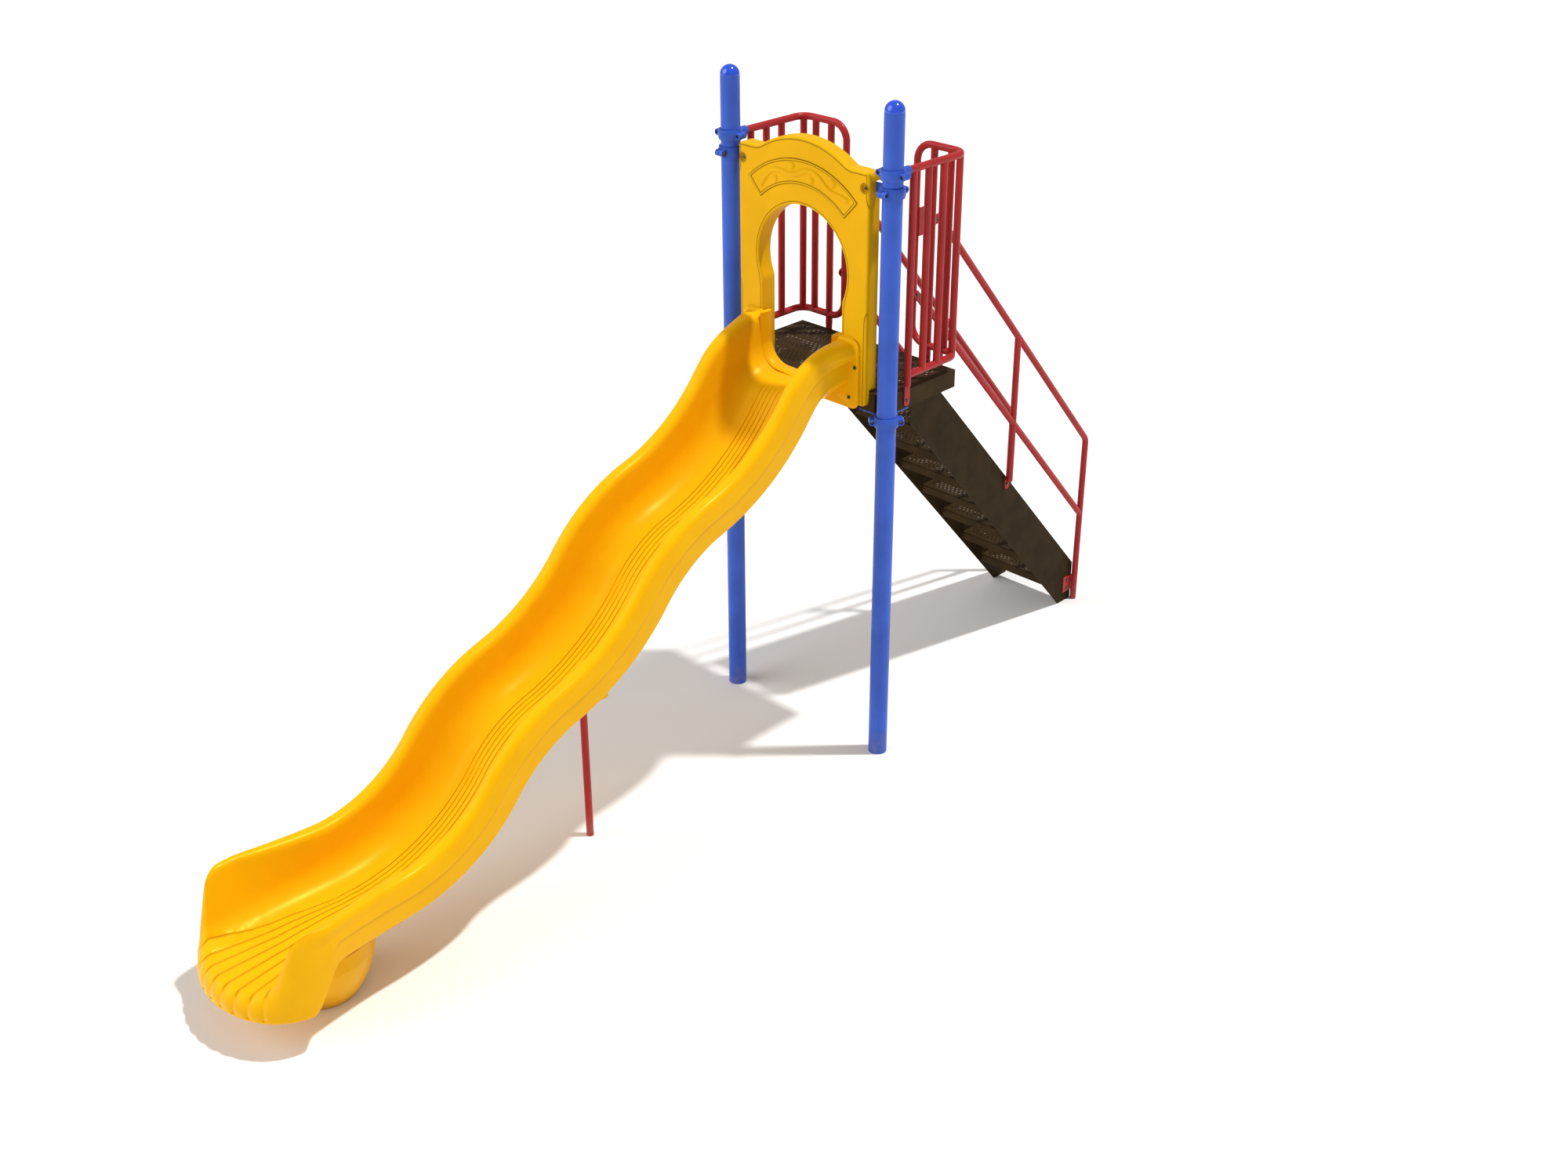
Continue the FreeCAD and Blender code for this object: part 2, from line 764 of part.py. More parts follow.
def gusset():
    """A plate welded beside the rail's end upright, with a nose that takes the handrail's end."""
    x = guard_end + rail_radius + seat_gap
    low = gusset_centre - gusset_height / 2
    high = gusset_centre + gusset_height / 2
    y, z = handrail_tab_hole
    half = gusset_nose / 2
    outline = [(guard_y, low), (guard_y + gusset_width, low), (y, z - half), (y, z + half),
               (guard_y + gusset_width, high), (guard_y, high)]
    plate = prism(polygon([vec(x, *point) for point in outline]), X * foot_tab_thickness)
    nose = rod(vec(x, y, z), X, half, foot_tab_thickness)
    return joined([plate, nose]).cut(bolt_hole(vec(x, y, z), X, foot_tab_thickness))


# ---------------------------------------------------------------- stair
def stringer_edge(z):
    """Y of the stringer's upper edge at a height."""
    return stringer_foot_back - (z - stringer_heel) / stair_tan


def stringer():
    """A sloping plate with a flange at its upper end, which bolts to the deck's back skirt."""
    inner = stringer_outer - stringer_thickness
    throat = (stringer_foot_front - stringer_front) * stair_tan
    top = stringer_heel + stringer_rise
    outline = [(stringer_front, throat), (stringer_foot_front, 0), (stringer_foot_back, 0),
               (stringer_foot_back, stringer_heel), (stringer_front, top)]
    plate = prism(polygon([vec(inner, *point) for point in outline]), X * stringer_thickness)
    flange = box((inner - stringer_flange, inner), (stringer_front, stringer_front + stringer_thickness),
                 (deck_underside, top))
    solid = joined([plate, flange])
    for x, z in stringer_bolt_places():
        solid = solid.cut(bolt_hole(vec(x, stringer_front, z), Y, stringer_thickness))
    for y, z in handrail_plate_holes() + [(mid_post_y, mid_post_hole)]:
        solid = solid.cut(bolt_hole(vec(inner, y, z), X, stringer_thickness))
    return solid


def stringer_bolt_places():
    x = stringer_outer - stringer_thickness - stringer_flange / 2
    return [(x, deck_underside + deck_skirt * share) for share in (0.3, 0.7)]


def stair_tread(step):
    """A folded tread, turned down at its front and back edges, between the stringers."""
    top = riser * step
    half = stringer_outer - stringer_thickness
    front = stringer_edge(top) - tread_setback
    back = max(front - tread_depth, stringer_front + stringer_thickness + seat_gap)
    outer = box((-half, half), (back, front), (top - tread_apron, top))
    inner = box((-half, half), (back + sheet, front - sheet), (top - tread_apron, top - sheet))
    return outer.cut(inner)


# ---------------------------------------------------------------- handrails
def handrail_foot_x():
    """X of the middle of a flattened end that lies on the stringer."""
    return stringer_outer + tab_offset


def handrail_plate_holes():
    y = end_post_y - rail_radius - handrail_plate_length / 2
    middle = handrail_plate_base + handrail_plate_height / 2
    return [(y, middle - handrail_plate_height / 4), (y, middle + handrail_plate_height / 4)]


def top_rail():
    """The upper handrail and its end post: one tube, bent at the knee, flattened at the gusset."""
    start_z = handrail_knee + (end_post_y - handrail_top_start) * handrail_tan
    points = [vec(handrail_x, handrail_top_start, start_z), vec(handrail_x, end_post_y, handrail_knee),
              vec(handrail_x, end_post_y, 0)]
    tube = pipe(points, [end_post_bend], rail_radius, rail_radius - rail_wall)
    y, z = handrail_tab_hole
    x = guard_end + rail_radius + 2 * seat_gap + foot_tab_thickness
    half = gusset_nose / 2
    collar = rod(points[0], points[1] - points[0], rail_radius, foot_tab_overlap)
    reach = handrail_top_start + foot_tab_overlap
    tab = box((x, x + foot_tab_thickness), (y, reach), (z - half, z + half))
    nose = rod(vec(x, y, z), X, half, foot_tab_thickness)
    return joined([tube, collar, tab, nose]).cut(bolt_hole(vec(x, y, z), X, foot_tab_thickness))


def mid_rail_height(y):
    return mid_rail_low + (end_post_y - y) * math.tan(math.radians(mid_rail_slope))


def mid_rail_hole_z():
    return mid_rail_height(guard_y)


def mid_rail():
    """The lower handrail: flattened and bolted to the guard rail's end, welded to the end post."""
    x = guard_end + rail_radius + seat_gap
    hole = vec(x, guard_y, mid_rail_hole_z())
    start = guard_y + mid_rail_tab
    top = vec(handrail_x, start, mid_rail_height(start))
    low = vec(handrail_x, end_post_y, mid_rail_low)
    along = (low - top).normalize()
    tube = straight_tube(top, low, rail_radius, rail_radius - rail_wall)
    collar = rod(top, along, rail_radius, foot_tab_overlap)
    across = X.cross(along) * foot_tab_width / 2
    end = hole + along * ((top - hole).dot(along) + foot_tab_overlap)
    outline = [hole + across, end + across, end - across, hole - across]
    strip = prism(polygon(outline), X * foot_tab_thickness)
    nose = rod(hole, X, foot_tab_width / 2, foot_tab_thickness)
    rail = joined([tube, collar, strip, nose])
    rail = rail.cut(rod(vec(handrail_x, end_post_y, 0), Z, rail_radius + seat_gap, handrail_knee))
    return rail.cut(bolt_hole(hole, X, foot_tab_thickness))


def mid_post():
    """The upright between the handrails and down to the stringer, parted where the lower rail passes."""
    top_z = handrail_knee + (end_post_y - mid_post_y) * handrail_tan
    base = mid_post_base
    tube = straight_tube(vec(handrail_x, mid_post_y, base), vec(handrail_x, mid_post_y, top_z),
                         rail_radius, rail_radius - rail_wall)
    foot = flat_foot(vec(handrail_foot_x(), mid_post_y, mid_post_hole), X, base, (handrail_x, mid_post_y))
    post_solid = joined([tube, foot])
    for z, slope in ((top_z, handrail_slope), (mid_rail_height(mid_post_y), mid_rail_slope)):
        along = vec(0, math.cos(math.radians(slope)), -math.sin(math.radians(slope)))
        reach = rail_diameter * 3
        centre = vec(handrail_x, mid_post_y, z)
        post_solid = post_solid.cut(rod(centre - along * reach, along, rail_radius + seat_gap, reach * 2))
    above = box((0, post_spacing), (0, end_post_y), (top_z, post_height))
    return post_solid.cut(above).Solids


def handrail_plate():
    """A plate beside the end post with two upright slots, bolted to the stringer."""
    x = stringer_outer + seat_gap
    y_low = end_post_y - rail_radius - handrail_plate_length
    z_range = (handrail_plate_base, handrail_plate_base + handrail_plate_height)
    plate = box((x, x + foot_tab_thickness), (y_low, end_post_y), z_range)
    plate = plate.cut(rod(vec(handrail_x, end_post_y, 0), Z, rail_radius + seat_gap, handrail_knee))
    plate = plate.cut(box((x, x + foot_tab_thickness), (end_post_y - rail_radius / 2, end_post_y), z_range))
    slot = bolt_radius + bolt_clearance
    for y, z in handrail_plate_holes():
        for shift in (-slot, slot):
            plate = plate.cut(rod(vec(x, y, z + shift), X, slot, foot_tab_thickness))
        plate = plate.cut(box((x, x + foot_tab_thickness), (y - slot, y + slot), (z - slot, z + slot)))
    return plate


# ---------------------------------------------------------------- entrance panel
def panel_outline(inset, bottom, y):
    """The panel's outline: square corners below, shoulders and a round crown above."""
    half = panel_half_width - inset
    shoulder = panel_shoulder - inset
    crown = panel_crown_radius - inset
    corner = panel_corner_radius - inset
    blend = panel_blend_radius + inset
    blend_x = math.sqrt((crown + blend) ** 2 - (shoulder + blend - panel_crown_centre) ** 2)
    centre = vec(0, y, panel_crown_centre)
    blend_centre = vec(blend_x, y, shoulder + blend)
    toward = (blend_centre - centre).normalize()
    crown_end = centre + toward * crown
    blend_low = vec(blend_x, y, shoulder)
    blend_middle = blend_centre + ((crown_end + blend_low) / 2 - blend_centre).normalize() * blend
    slant = corner * (1 - math.cos(math.radians(45)))
    right = [
        Part.makeLine(vec(0, y, bottom), vec(half - corner, y, bottom)),
        Part.Arc(vec(half - corner, y, bottom), vec(half - slant, y, bottom + slant),
                 vec(half, y, bottom + corner)).toShape(),
        Part.makeLine(vec(half, y, bottom + corner), vec(half, y, shoulder - corner)),
        Part.Arc(vec(half, y, shoulder - corner), vec(half - slant, y, shoulder - slant),
                 vec(half - corner, y, shoulder)).toShape(),
        Part.makeLine(vec(half - corner, y, shoulder), blend_low),
        Part.Arc(blend_low, blend_middle, crown_end).toShape(),
    ]
    left = [mirrored(edge) for edge in right]
    crown_top = vec(0, y, panel_crown_centre + crown)
    top = Part.Arc(crown_end, crown_top, vec(-crown_end.x, y, crown_end.z)).toShape()
    return Part.Wire(Part.sortEdges(right + [top] + left)[0])


def arch_outline(grow, bottom, y):
    """The opening's outline: a round head on a narrower neck, with a round-bottomed foot."""
    radius = arch_radius + grow
    neck = neck_half_width + grow
    blend = neck_blend_radius - grow
    corner = neck_foot_radius + grow
    drop = math.sqrt((radius + blend) ** 2 - (neck + blend) ** 2)
    centre = vec(0, y, arch_centre)
    blend_centre = vec(neck + blend, y, arch_centre - drop)
    head_end = centre + (blend_centre - centre).normalize() * radius
    neck_top = vec(neck, y, arch_centre - drop)
    blend_middle = blend_centre + ((head_end + neck_top) / 2 - blend_centre).normalize() * blend
    slant = corner * (1 - math.cos(math.radians(45)))
    low = bottom - grow
    right = [
        Part.makeLine(vec(0, y, low), vec(neck - corner, y, low)),
        Part.Arc(vec(neck - corner, y, low), vec(neck - slant, y, low + slant),
                 vec(neck, y, low + corner)).toShape(),
        Part.makeLine(vec(neck, y, low + corner), neck_top),
        Part.Arc(neck_top, blend_middle, head_end).toShape(),
    ]
    left = [mirrored(edge) for edge in right]
    top = Part.Arc(head_end, vec(0, y, arch_centre + radius), vec(-head_end.x, y, head_end.z)).toShape()
    return Part.Wire(Part.sortEdges(right + [top] + left)[0])


def neck_box(grow, y_range):
    """The straight passage that leaves the back of the opening open down to the deck."""
    half = neck_half_width + grow
    return box((-half, half), y_range, (panel_bottom, arch_centre - arch_radius / 2))


def panel_slab(inset, bottom, y_range):
    return prism(panel_outline(inset, bottom, y_range[0]), Y * (y_range[1] - y_range[0]))


def rounded_rim(solid, y, radius):
    """Rounds the outer edges that lie in the plane at y."""
    rim = [edge for edge in solid.Edges
           if abs(edge.BoundBox.YMin - y) < 0.01 and abs(edge.BoundBox.YMax - y) < 0.01]
    return solid.makeFillet(radius, rim)


def rounded_opening(body):
    """Rounds the opening's front edge."""
    rim = [edge for edge in body.Edges
           if abs(edge.BoundBox.YMin - panel_front) < 0.01 and abs(edge.BoundBox.YMax - panel_front) < 0.01
           and edge.BoundBox.XMax < arch_radius + over_cut and edge.BoundBox.XMin > -arch_radius - over_cut
           and edge.BoundBox.ZMax < arch_centre + arch_radius + over_cut
           and edge.BoundBox.ZMin > panel_bottom + panel_wall]
    return body.makeFillet(arch_edge_radius, rim)


def entrance_panel():
    """A hollow moulded panel: its front half hangs before the deck, its back half stands on the deck."""
    split = deck_front - seat_gap
    seat = deck_height + seat_gap
    body = joined([panel_slab(0, panel_bottom, (panel_front, split)),
                   panel_slab(0, seat, (split, panel_back))])
    body = rounded_rim(rounded_rim(body, panel_front, panel_edge_radius), panel_back, panel_edge_radius)
    body = joined([body, banner()])
    foot = entry_floor - entry_wall - seat_gap
    inside = panel_front + panel_wall
    cavity = joined([panel_slab(panel_wall, panel_bottom + panel_wall, (inside, split - panel_wall)),
                     panel_slab(panel_wall, seat + panel_wall, (inside, panel_back - panel_wall))])
    before = panel_front - panel_thickness
    hole = prism(arch_outline(0, foot, before), Y * panel_thickness * 3)
    lining = prism(arch_outline(panel_wall, foot, before), Y * panel_thickness * 3)
    passage = neck_box(0, (split, panel_back + panel_wall))
    passage_lining = neck_box(panel_wall, (split - panel_wall, panel_back + panel_wall))
    cavity = cavity.cut(lining).cut(passage_lining)
    for keep in panel_bosses():
        cavity = cavity.cut(keep)
    body = rounded_opening(body.cut(cavity).cut(hole).cut(passage))
    for cutter in panel_cutters():
        body = body.cut(cutter)
    return body


def banner():
    """A raised band along the crown with a raised border, left plain."""
    def sector(inner, outer, half_angle, relief):
        centre = vec(0, panel_front - relief, banner_centre)
        start = FreeCAD.Rotation(Y, -half_angle).multVec(Z)
        thickness = relief + panel_wall / 2
        ring = rod(centre, Y, outer, thickness).cut(rod(centre, Y, inner, thickness))
        reach = outer * 2
        wedge = polygon([centre, centre + start * reach,
                         centre + Z * reach, centre + vec(-start.x, 0, start.z) * reach])
        return ring.common(prism(wedge, Y * thickness))
    border = banner_border
    frame = sector(banner_inner, banner_outer, banner_half_angle, banner_relief)
    angle = math.degrees(border / banner_inner)
    field = sector(banner_inner + border, banner_outer - border, banner_half_angle - angle, banner_relief)
    field = field.cut(box((-banner_outer, banner_outer), (panel_front - banner_relief / 2, panel_back),
                          (0, post_height)))
    return frame.cut(field)


def panel_places(sign):
    """X and Z of the bolts that hold the panel to its clamps, on one side."""
    return vec(sign * panel_bolt_x, 0, panel_clamp_height)


def panel_bosses():
    """What stays solid inside the panel: walls round the cups, pockets and through bolts."""
    keeps = []
    for side in (-1, 1):
        place = panel_places(side) + Y * panel_front
        keeps.append(rod(place, Y, panel_cup_radius + panel_wall, panel_thickness))
        keeps.append(panel_pocket(side, panel_wall))
        for x, z in (flange_bolt_upper, flange_bolt_lower):
            start = vec(side * x, panel_front, z)
            keeps.append(rod(start, Y, bolt_radius + panel_boss_wall, panel_thickness))
    return keeps


def pocket_floor():
    return panel_back - panel_pocket_depth


def panel_pocket(side, grow):
    """The open-backed recess at the panel's side that takes the clamp's tab."""
    inner = panel_half_width - panel_pocket_width - grow
    half = panel_pocket_height / 2 + grow
    return box(sorted((side * inner, side * panel_half_width)), (pocket_floor() - grow, panel_back),
               (panel_clamp_height - half, panel_clamp_height + half))


def panel_cutters():
    """Cups, pockets and bolt holes cut from the panel."""
    cutters = []
    for side in (-1, 1):
        place = panel_places(side) + Y * panel_front
        cutters.append(rod(place, Y, panel_cup_radius, panel_cup_depth))
        cutters.append(bolt_hole(place, Y, panel_thickness))
        cutters.append(panel_pocket(side, 0))
        for x, z in (flange_bolt_upper, flange_bolt_lower):
            cutters.append(bolt_hole(vec(side * x, panel_front, z), Y, panel_thickness))
    return cutters


# ---------------------------------------------------------------- slide: sections
def mitred(chain, inset):
    """An open chain of (x, n) points moved inwards by the inset, to the right of its direction."""
    moved = []
    for before, corner, after in zip(chain, chain[1:], chain[2:]):
        first = FreeCAD.Vector(corner[0] - before[0], corner[1] - before[1], 0).normalize()
        second = FreeCAD.Vector(after[0] - corner[0], after[1] - corner[1], 0).normalize()
        normals = vec(first.y, -first.x, 0) + vec(second.y, -second.x, 0)
        shift = normals * (inset / (1 + first.dot(second)))
        moved.append((corner[0] + shift.x, corner[1] + shift.y))
    return moved


def slide_section(point, slope, crest_x, radius, outer, swell, floor, floor_half, inset):
    """The chute's closed section: a round-cornered trough between two rolled crests over a hollow belly.

    n is measured up from the crest line, square to the slope.
    """
    up = above_slope(slope)

    def at(x, n):
        return point + X * x + up * n

    ridge_x, ridge_n = ridge_point
    ledge_x, ledge_n = ledge_point
    skirt_x = outer - ledge_step
    chain = [
        (crest_x + radius, -radius),
        (outer - ledge_x + ridge_x + swell, ridge_n),
        (outer, ledge_n),
        (skirt_x, ledge_n - ledge_step),
        (skirt_x, -skirt_depth + skirt_corner_radius),
        (skirt_x - skirt_corner_radius, -skirt_depth),
        (outer - belly_knee_inset, belly_knee_height - floor_depth),
        (outer - belly_hip_inset, -belly_hip_drop - floor_depth),
        (belly_base, -floor_depth - floor_thickness),
    ]
    inner = [(crest_x + radius - inset, -radius)] + mitred(chain, inset)
    inner.append((belly_base, -floor_depth - floor_thickness + inset))
    corner = floor_corner_radius + inset
    corner_n = -floor + floor_corner_radius
    slant = corner * math.sin(math.radians(45))
    right = [
        Part.makeLine(at(0, -floor - inset), at(floor_half, -floor - inset)),
        Part.Arc(at(floor_half, -floor - inset), at(floor_half + slant, corner_n - slant),
                 at(floor_half + corner, corner_n)).toShape(),
        Part.makeLine(at(floor_half + corner, corner_n), at(crest_x - radius + inset, -radius)),
        Part.Arc(at(crest_x - radius + inset, -radius), at(crest_x, -inset),
                 at(crest_x + radius - inset, -radius)).toShape(),
    ]
    for start, end in zip(inner, inner[1:]):
        right.append(Part.makeLine(at(*start), at(*end)))
    right.append(Part.makeLine(at(*inner[-1]), at(0, inner[-1][1])))
    left = []
    for edge in reversed(right):
        left.append(mirrored(edge))
    return Part.Wire(right + left)


def body_section(point, slope, swell, inset):
    return slide_section(point, slope, crest_offset, crest_radius, crest_offset + ledge_point[0],
                         swell, floor_depth, floor_half_width, inset)


def exit_section(share, inset):
    """A section of the flared end, at a share of the flare's length and beyond it."""
    end, slope = crest_places[-1]
    eased = 0
    if share > 0:
        eased = min(share, 1) ** 1.5
    point = end + along_slope(flare_slope) * flare_length * share
    radius = crest_radius + (flare_crest_radius - crest_radius) * eased
    level_floor = floor_depth + (point.z - lip_floor - floor_depth) * eased
    return slide_section(point, slope, crest_offset + flare_crest * eased, radius,
                         crest_offset + ledge_point[0] + flare_outer * eased, 0, level_floor,
                         floor_half_width + flare_floor * eased, inset)


def ruled_body(wires):
    return Part.makeLoft(wires, True, True)


def lip_half_width():
    return crest_offset + ledge_point[0] + flare_outer


def lip_plan(inset, z_range):
    """The exit's plan: straight sides, round corners and a bowed front, as an upright prism."""
    half = lip_half_width() - inset
    front = -lip_front + inset
    corner = lip_corner_radius - inset
    bow = lip_front_radius - inset
    back = -lip_front / 2
    corner_x = half - corner
    bow_y = front + bow
    corner_y = bow_y - math.sqrt((bow - corner) ** 2 - corner_x ** 2)
    base = z_range[0]
    toward = (vec(corner_x, corner_y, base) - vec(0, bow_y, base)).normalize()
    meet = vec(0, bow_y, base) + toward * bow
    middle_way = (toward + X).normalize()
    middle = vec(corner_x, corner_y, base) + middle_way * corner
    side_end = vec(half, corner_y, base)
    right = [Part.Arc(meet, middle, side_end).toShape(),
             Part.makeLine(side_end, vec(half, back, base)),
             Part.makeLine(vec(half, back, base), vec(0, back, base))]
    left = [mirrored(edge) for edge in right]
    bow_edge = Part.Arc(meet, vec(0, front, base), vec(-meet.x, meet.y, base)).toShape()
    wire = Part.Wire(Part.sortEdges(right + [bow_edge] + left)[0])
    return prism(wire, Z * (z_range[1] - z_range[0]))


def nose_profile(inset):
    """What lies below the walls' rounded ends, seen from the side."""
    start = runout_start
    crest = start.z - (nose_start + start.y) * math.tan(math.radians(flare_slope))
    radius = nose_radius
    front = -nose_start + inset
    centre_z = crest - radius
    fall = math.radians(nose_slope)
    arc_end = vec(0, front - radius * math.sin(fall), centre_z + radius * math.cos(fall))
    middle = vec(0, front - radius * math.sin(fall / 2), centre_z + radius * math.cos(fall / 2))
    foot_z = lip_floor
    run = (arc_end.z - foot_z) / math.tan(fall)
    foot = vec(0, arc_end.y - run, foot_z)
    top = vec(0, front, crest)
    back = vec(0, -lip_front / 2, crest + floor_depth * 8)
    edges = [Part.Arc(top, middle, arc_end).toShape(), Part.makeLine(arc_end, foot),
             Part.makeLine(foot, vec(0, foot.y, 0)), Part.makeLine(vec(0, foot.y, 0), vec(0, back.y, 0)),
             Part.makeLine(vec(0, back.y, 0), back), Part.makeLine(back, vec(0, front, back.z)),
             Part.makeLine(vec(0, front, back.z), top)]
    face = Part.Face(Part.Wire(edges))
    face.translate(X * -post_spacing)
    return face.extrude(X * post_spacing * 2)


def exit_lip(inset):
    """The broad lip in front of and under the walls' ends."""
    top = lip_floor - inset
    slab = lip_plan(inset, (lip_bottom + inset, top))
    rim = [edge for edge in slab.Edges
           if edge.BoundBox.ZMin > top - 0.01 and edge.BoundBox.YMin < -lip_front / 2 - 1]
    slab = slab.makeFillet(lip_round - inset, rim)
    reach = lip_half_width() * 2
    low, high = lip_heel
    heel = [vec(-reach, -low - inset, 0), vec(-reach, -low - inset, lip_bottom + inset),
            vec(-reach, -high - inset, lip_floor), vec(-reach, -high - inset, crest_entry),
            vec(-reach, 0, crest_entry), vec(-reach, 0, 0)]
    return slab.cut(prism(polygon(heel), X * reach * 2)).cut(foot_solid(-seat_gap - inset, lip_floor))


def exit_end(inset):
    """The flared runout, its walls' ends and the lip."""
    shares = [step / flare_steps for step in range(flare_steps + 1)]
    shares.append((lip_front + runout_start.y) / flare_length)
    flare = ruled_body([exit_section(share, inset) for share in shares])
    flare = flare.common(lip_plan(inset, (0, crest_entry))).common(nose_profile(inset))
    return joined([flare, exit_lip(inset)])


def chute_body(inset):
    """The whole chute as one solid at the inset given: entry, waves and exit."""
    start = vec(0, panel_front, crest_entry) - along_slope(entry_slope) * flange_thickness
    first = crest_places[0][0]
    entry = ruled_body([body_section(start, entry_slope, entry_swell, inset),
                        body_section(first, entry_slope, 0, inset)])
    waves = swept(Part.Wire(crest_edges), body_section(first, entry_slope, 0, inset))
    return [entry, waves, exit_end(inset)]


# ---------------------------------------------------------------- slide: flange, lip and supports
def u_channel(half_width, corner, floor, y_range, top):
    """A round-bottomed slab that fills a U from its floor to its top."""
    slant = corner * (1 - math.cos(math.radians(45)))
    y = y_range[0]
    right = [
        Part.makeLine(vec(0, y, floor), vec(half_width - corner, y, floor)),
        Part.Arc(vec(half_width - corner, y, floor), vec(half_width - slant, y, floor + slant),
                 vec(half_width, y, floor + corner)).toShape(),
        Part.makeLine(vec(half_width, y, floor + corner), vec(half_width, y, top)),
        Part.makeLine(vec(half_width, y, top), vec(0, y, top)),
    ]
    left = [mirrored(edge) for edge in right]
    return prism(Part.Wire(Part.sortEdges(right + left)[0]), Y * (y_range[1] - y_range[0]))


def slide_flange():
    """The upright plate that bolts the chute to the panel."""
    plate = box((-flange_half_width, flange_half_width), (flange_front(), panel_front - seat_gap),
                (flange_bottom, flange_top))
    corners = [edge for edge in plate.Edges
               if abs(edge.Vertexes[0].Point.x - edge.Vertexes[-1].Point.x) < 0.01
               and abs(edge.Vertexes[0].Point.z - edge.Vertexes[-1].Point.z) < 0.01]
    return plate.makeFillet(flange_corner_radius, corners)


def flange_front():
    return panel_front - seat_gap - flange_thickness


def slide_chute():
    """The moulded chute, hollow between its inner and outer skins."""
    mouth = (flange_front(), deck_front - seat_gap)
    lip = u_channel(entry_half_width + entry_wall, entry_corner_radius + entry_wall,
                    entry_floor - entry_wall, mouth, flange_top - flange_thickness)
    passage = u_channel(entry_half_width, entry_corner_radius, entry_floor, mouth, post_height)
    behind = box((-post_spacing, post_spacing), (panel_front - seat_gap, post_spacing), (0, post_height))
    outer = joined(chute_body(0))
    cavity = joined(chute_body(slide_wall))
    before = box((-post_spacing, post_spacing), (flange_front() - seat_gap, post_spacing), (0, post_height))
    shell = outer.cut(behind).cut(cavity.cut(before))
    shell = joined([shell, slide_flange().cut(lip), lip, skirt_lug(), mirrored(skirt_lug())])
    shell = shell.cut(passage)
    for side in (-1, 1):
        for x, z in (flange_bolt_upper, flange_bolt_lower):
            shell = shell.cut(bolt_hole(vec(side * x, flange_front(), z), Y, flange_thickness))
    for hole in support_holes():
        shell = shell.cut(hole)
    return shell


def below_crest(y, depth):
    """The point at a Y on the line that runs at a depth under the waves' crest line, with its slope."""
    for (point, slope), (end, value) in zip(crest_places, crest_places[1:]):
        if slope == value or not end.y <= y <= point.y:
            continue
        toward = 1 if value < slope else -1
        radius = (point - end).Length / 2 / math.sin(math.radians(abs(value - slope)) / 2)
        centre = point + above_slope(slope) * radius * toward
        reach = radius + depth * toward
        angle = math.asin((y - centre.y) * toward / reach)
        return centre - above_slope(math.degrees(angle)) * reach * toward, math.degrees(angle)


def belly_place(y):
    """The point on the belly's underside at a Y on the waves, with the slope there."""
    return below_crest(y, floor_depth + floor_thickness)


def skirt_lug():
    """A moulded wedge under the skirt, beside the middle leg, deepest at its upper end."""
    high_y = leg_y - lug_reach
    low_y = high_y - lug_length
    outline = [below_crest(y, depth)[0] for y, depth in
               ((high_y, skirt_depth - lug_overlap), (high_y, skirt_depth + lug_depth),
                (low_y, skirt_depth), (low_y, skirt_depth - lug_overlap))]
    outer = crest_offset + ledge_point[0] - ledge_step - lug_inset
    return prism(polygon([point + X * (outer - lug_width) for point in outline]), X * lug_width)


def saddle():
    """A plate curved to the belly, on top of the middle leg."""
    outer = chute_body(0)[1]
    half = saddle_size / 2
    point = belly_place(leg_y)[0]
    column = box((-half, half), (leg_y - half, leg_y + half), (0, point.z + floor_thickness / 2 + half))
    low = outer.translated(Z * (-seat_gap - saddle_thickness))
    high = outer.translated(Z * -seat_gap)
    plate = column.common(low).cut(high)
    for x in saddle_bolt_places():
        plate = plate.cut(saddle_bolt_hole(x))
    return plate


def mid_leg():
    """A round tube from the ground to the saddle's underside."""
    outer = chute_body(0)[1]
    top = belly_place(leg_y)[0].z + rail_diameter
    leg = straight_tube(vec(0, leg_y, 0), vec(0, leg_y, top), rail_radius, rail_radius - rail_wall)
    return leg.cut(outer.translated(Z * (-2 * seat_gap - saddle_thickness)))


def saddle_bolt_places():
    return [side * (saddle_size / 2 - bolt_head_diameter) for side in (-1, 1)]


def saddle_bolt_hole(x):
    point, slope = belly_place(leg_y)
    start = point + X * x - above_slope(slope) * saddle_thickness * 3
    return bolt_hole(start, above_slope(slope), saddle_thickness * 3 + slide_wall + floor_thickness / 4)


def support_holes():
    """Holes in the belly for the bolts of the middle leg and the exit foot."""
    holes = [saddle_bolt_hole(x) for x in saddle_bolt_places()]
    for x, y in foot_bolt_places():
        holes.append(bolt_hole(vec(x, y, foot_top_z(y) - foot_wall * 2), Z, foot_wall * 2 + slide_wall * 2))
    return holes


# ---------------------------------------------------------------- exit foot
def foot_top_z(y):
    """The height of the belly's underside over the exit foot."""
    end, slope = crest_places[-1]
    belly = end - above_slope(slope) * (floor_depth + floor_thickness)
    return belly.z - (belly.y - y) * math.tan(math.radians(flare_slope))


def foot_solid(inset, top):
    """The foot's shape of revolution, drawn in by the inset: a round base and a flaring side."""
    base = foot_base_radius - inset
    rim = foot_top_radius - inset
    bulge = base + (rim - base) * foot_bulge
    side = Part.Arc(vec(base, 0, 0), vec(bulge, 0, foot_height / 2), vec(rim, 0, foot_height))
    outline = [side.toShape(),
               Part.makeLine(vec(rim, 0, foot_height), vec(rim, 0, top)),
               Part.makeLine(vec(rim, 0, top), vec(0, 0, top)),
               Part.makeLine(vec(0, 0, top), ORIGIN), Part.makeLine(ORIGIN, vec(base, 0, 0))]
    solid = Part.Face(Part.Wire(outline)).revolve(ORIGIN, Z, 360)
    return solid.translated(vec(0, foot_y, 0))


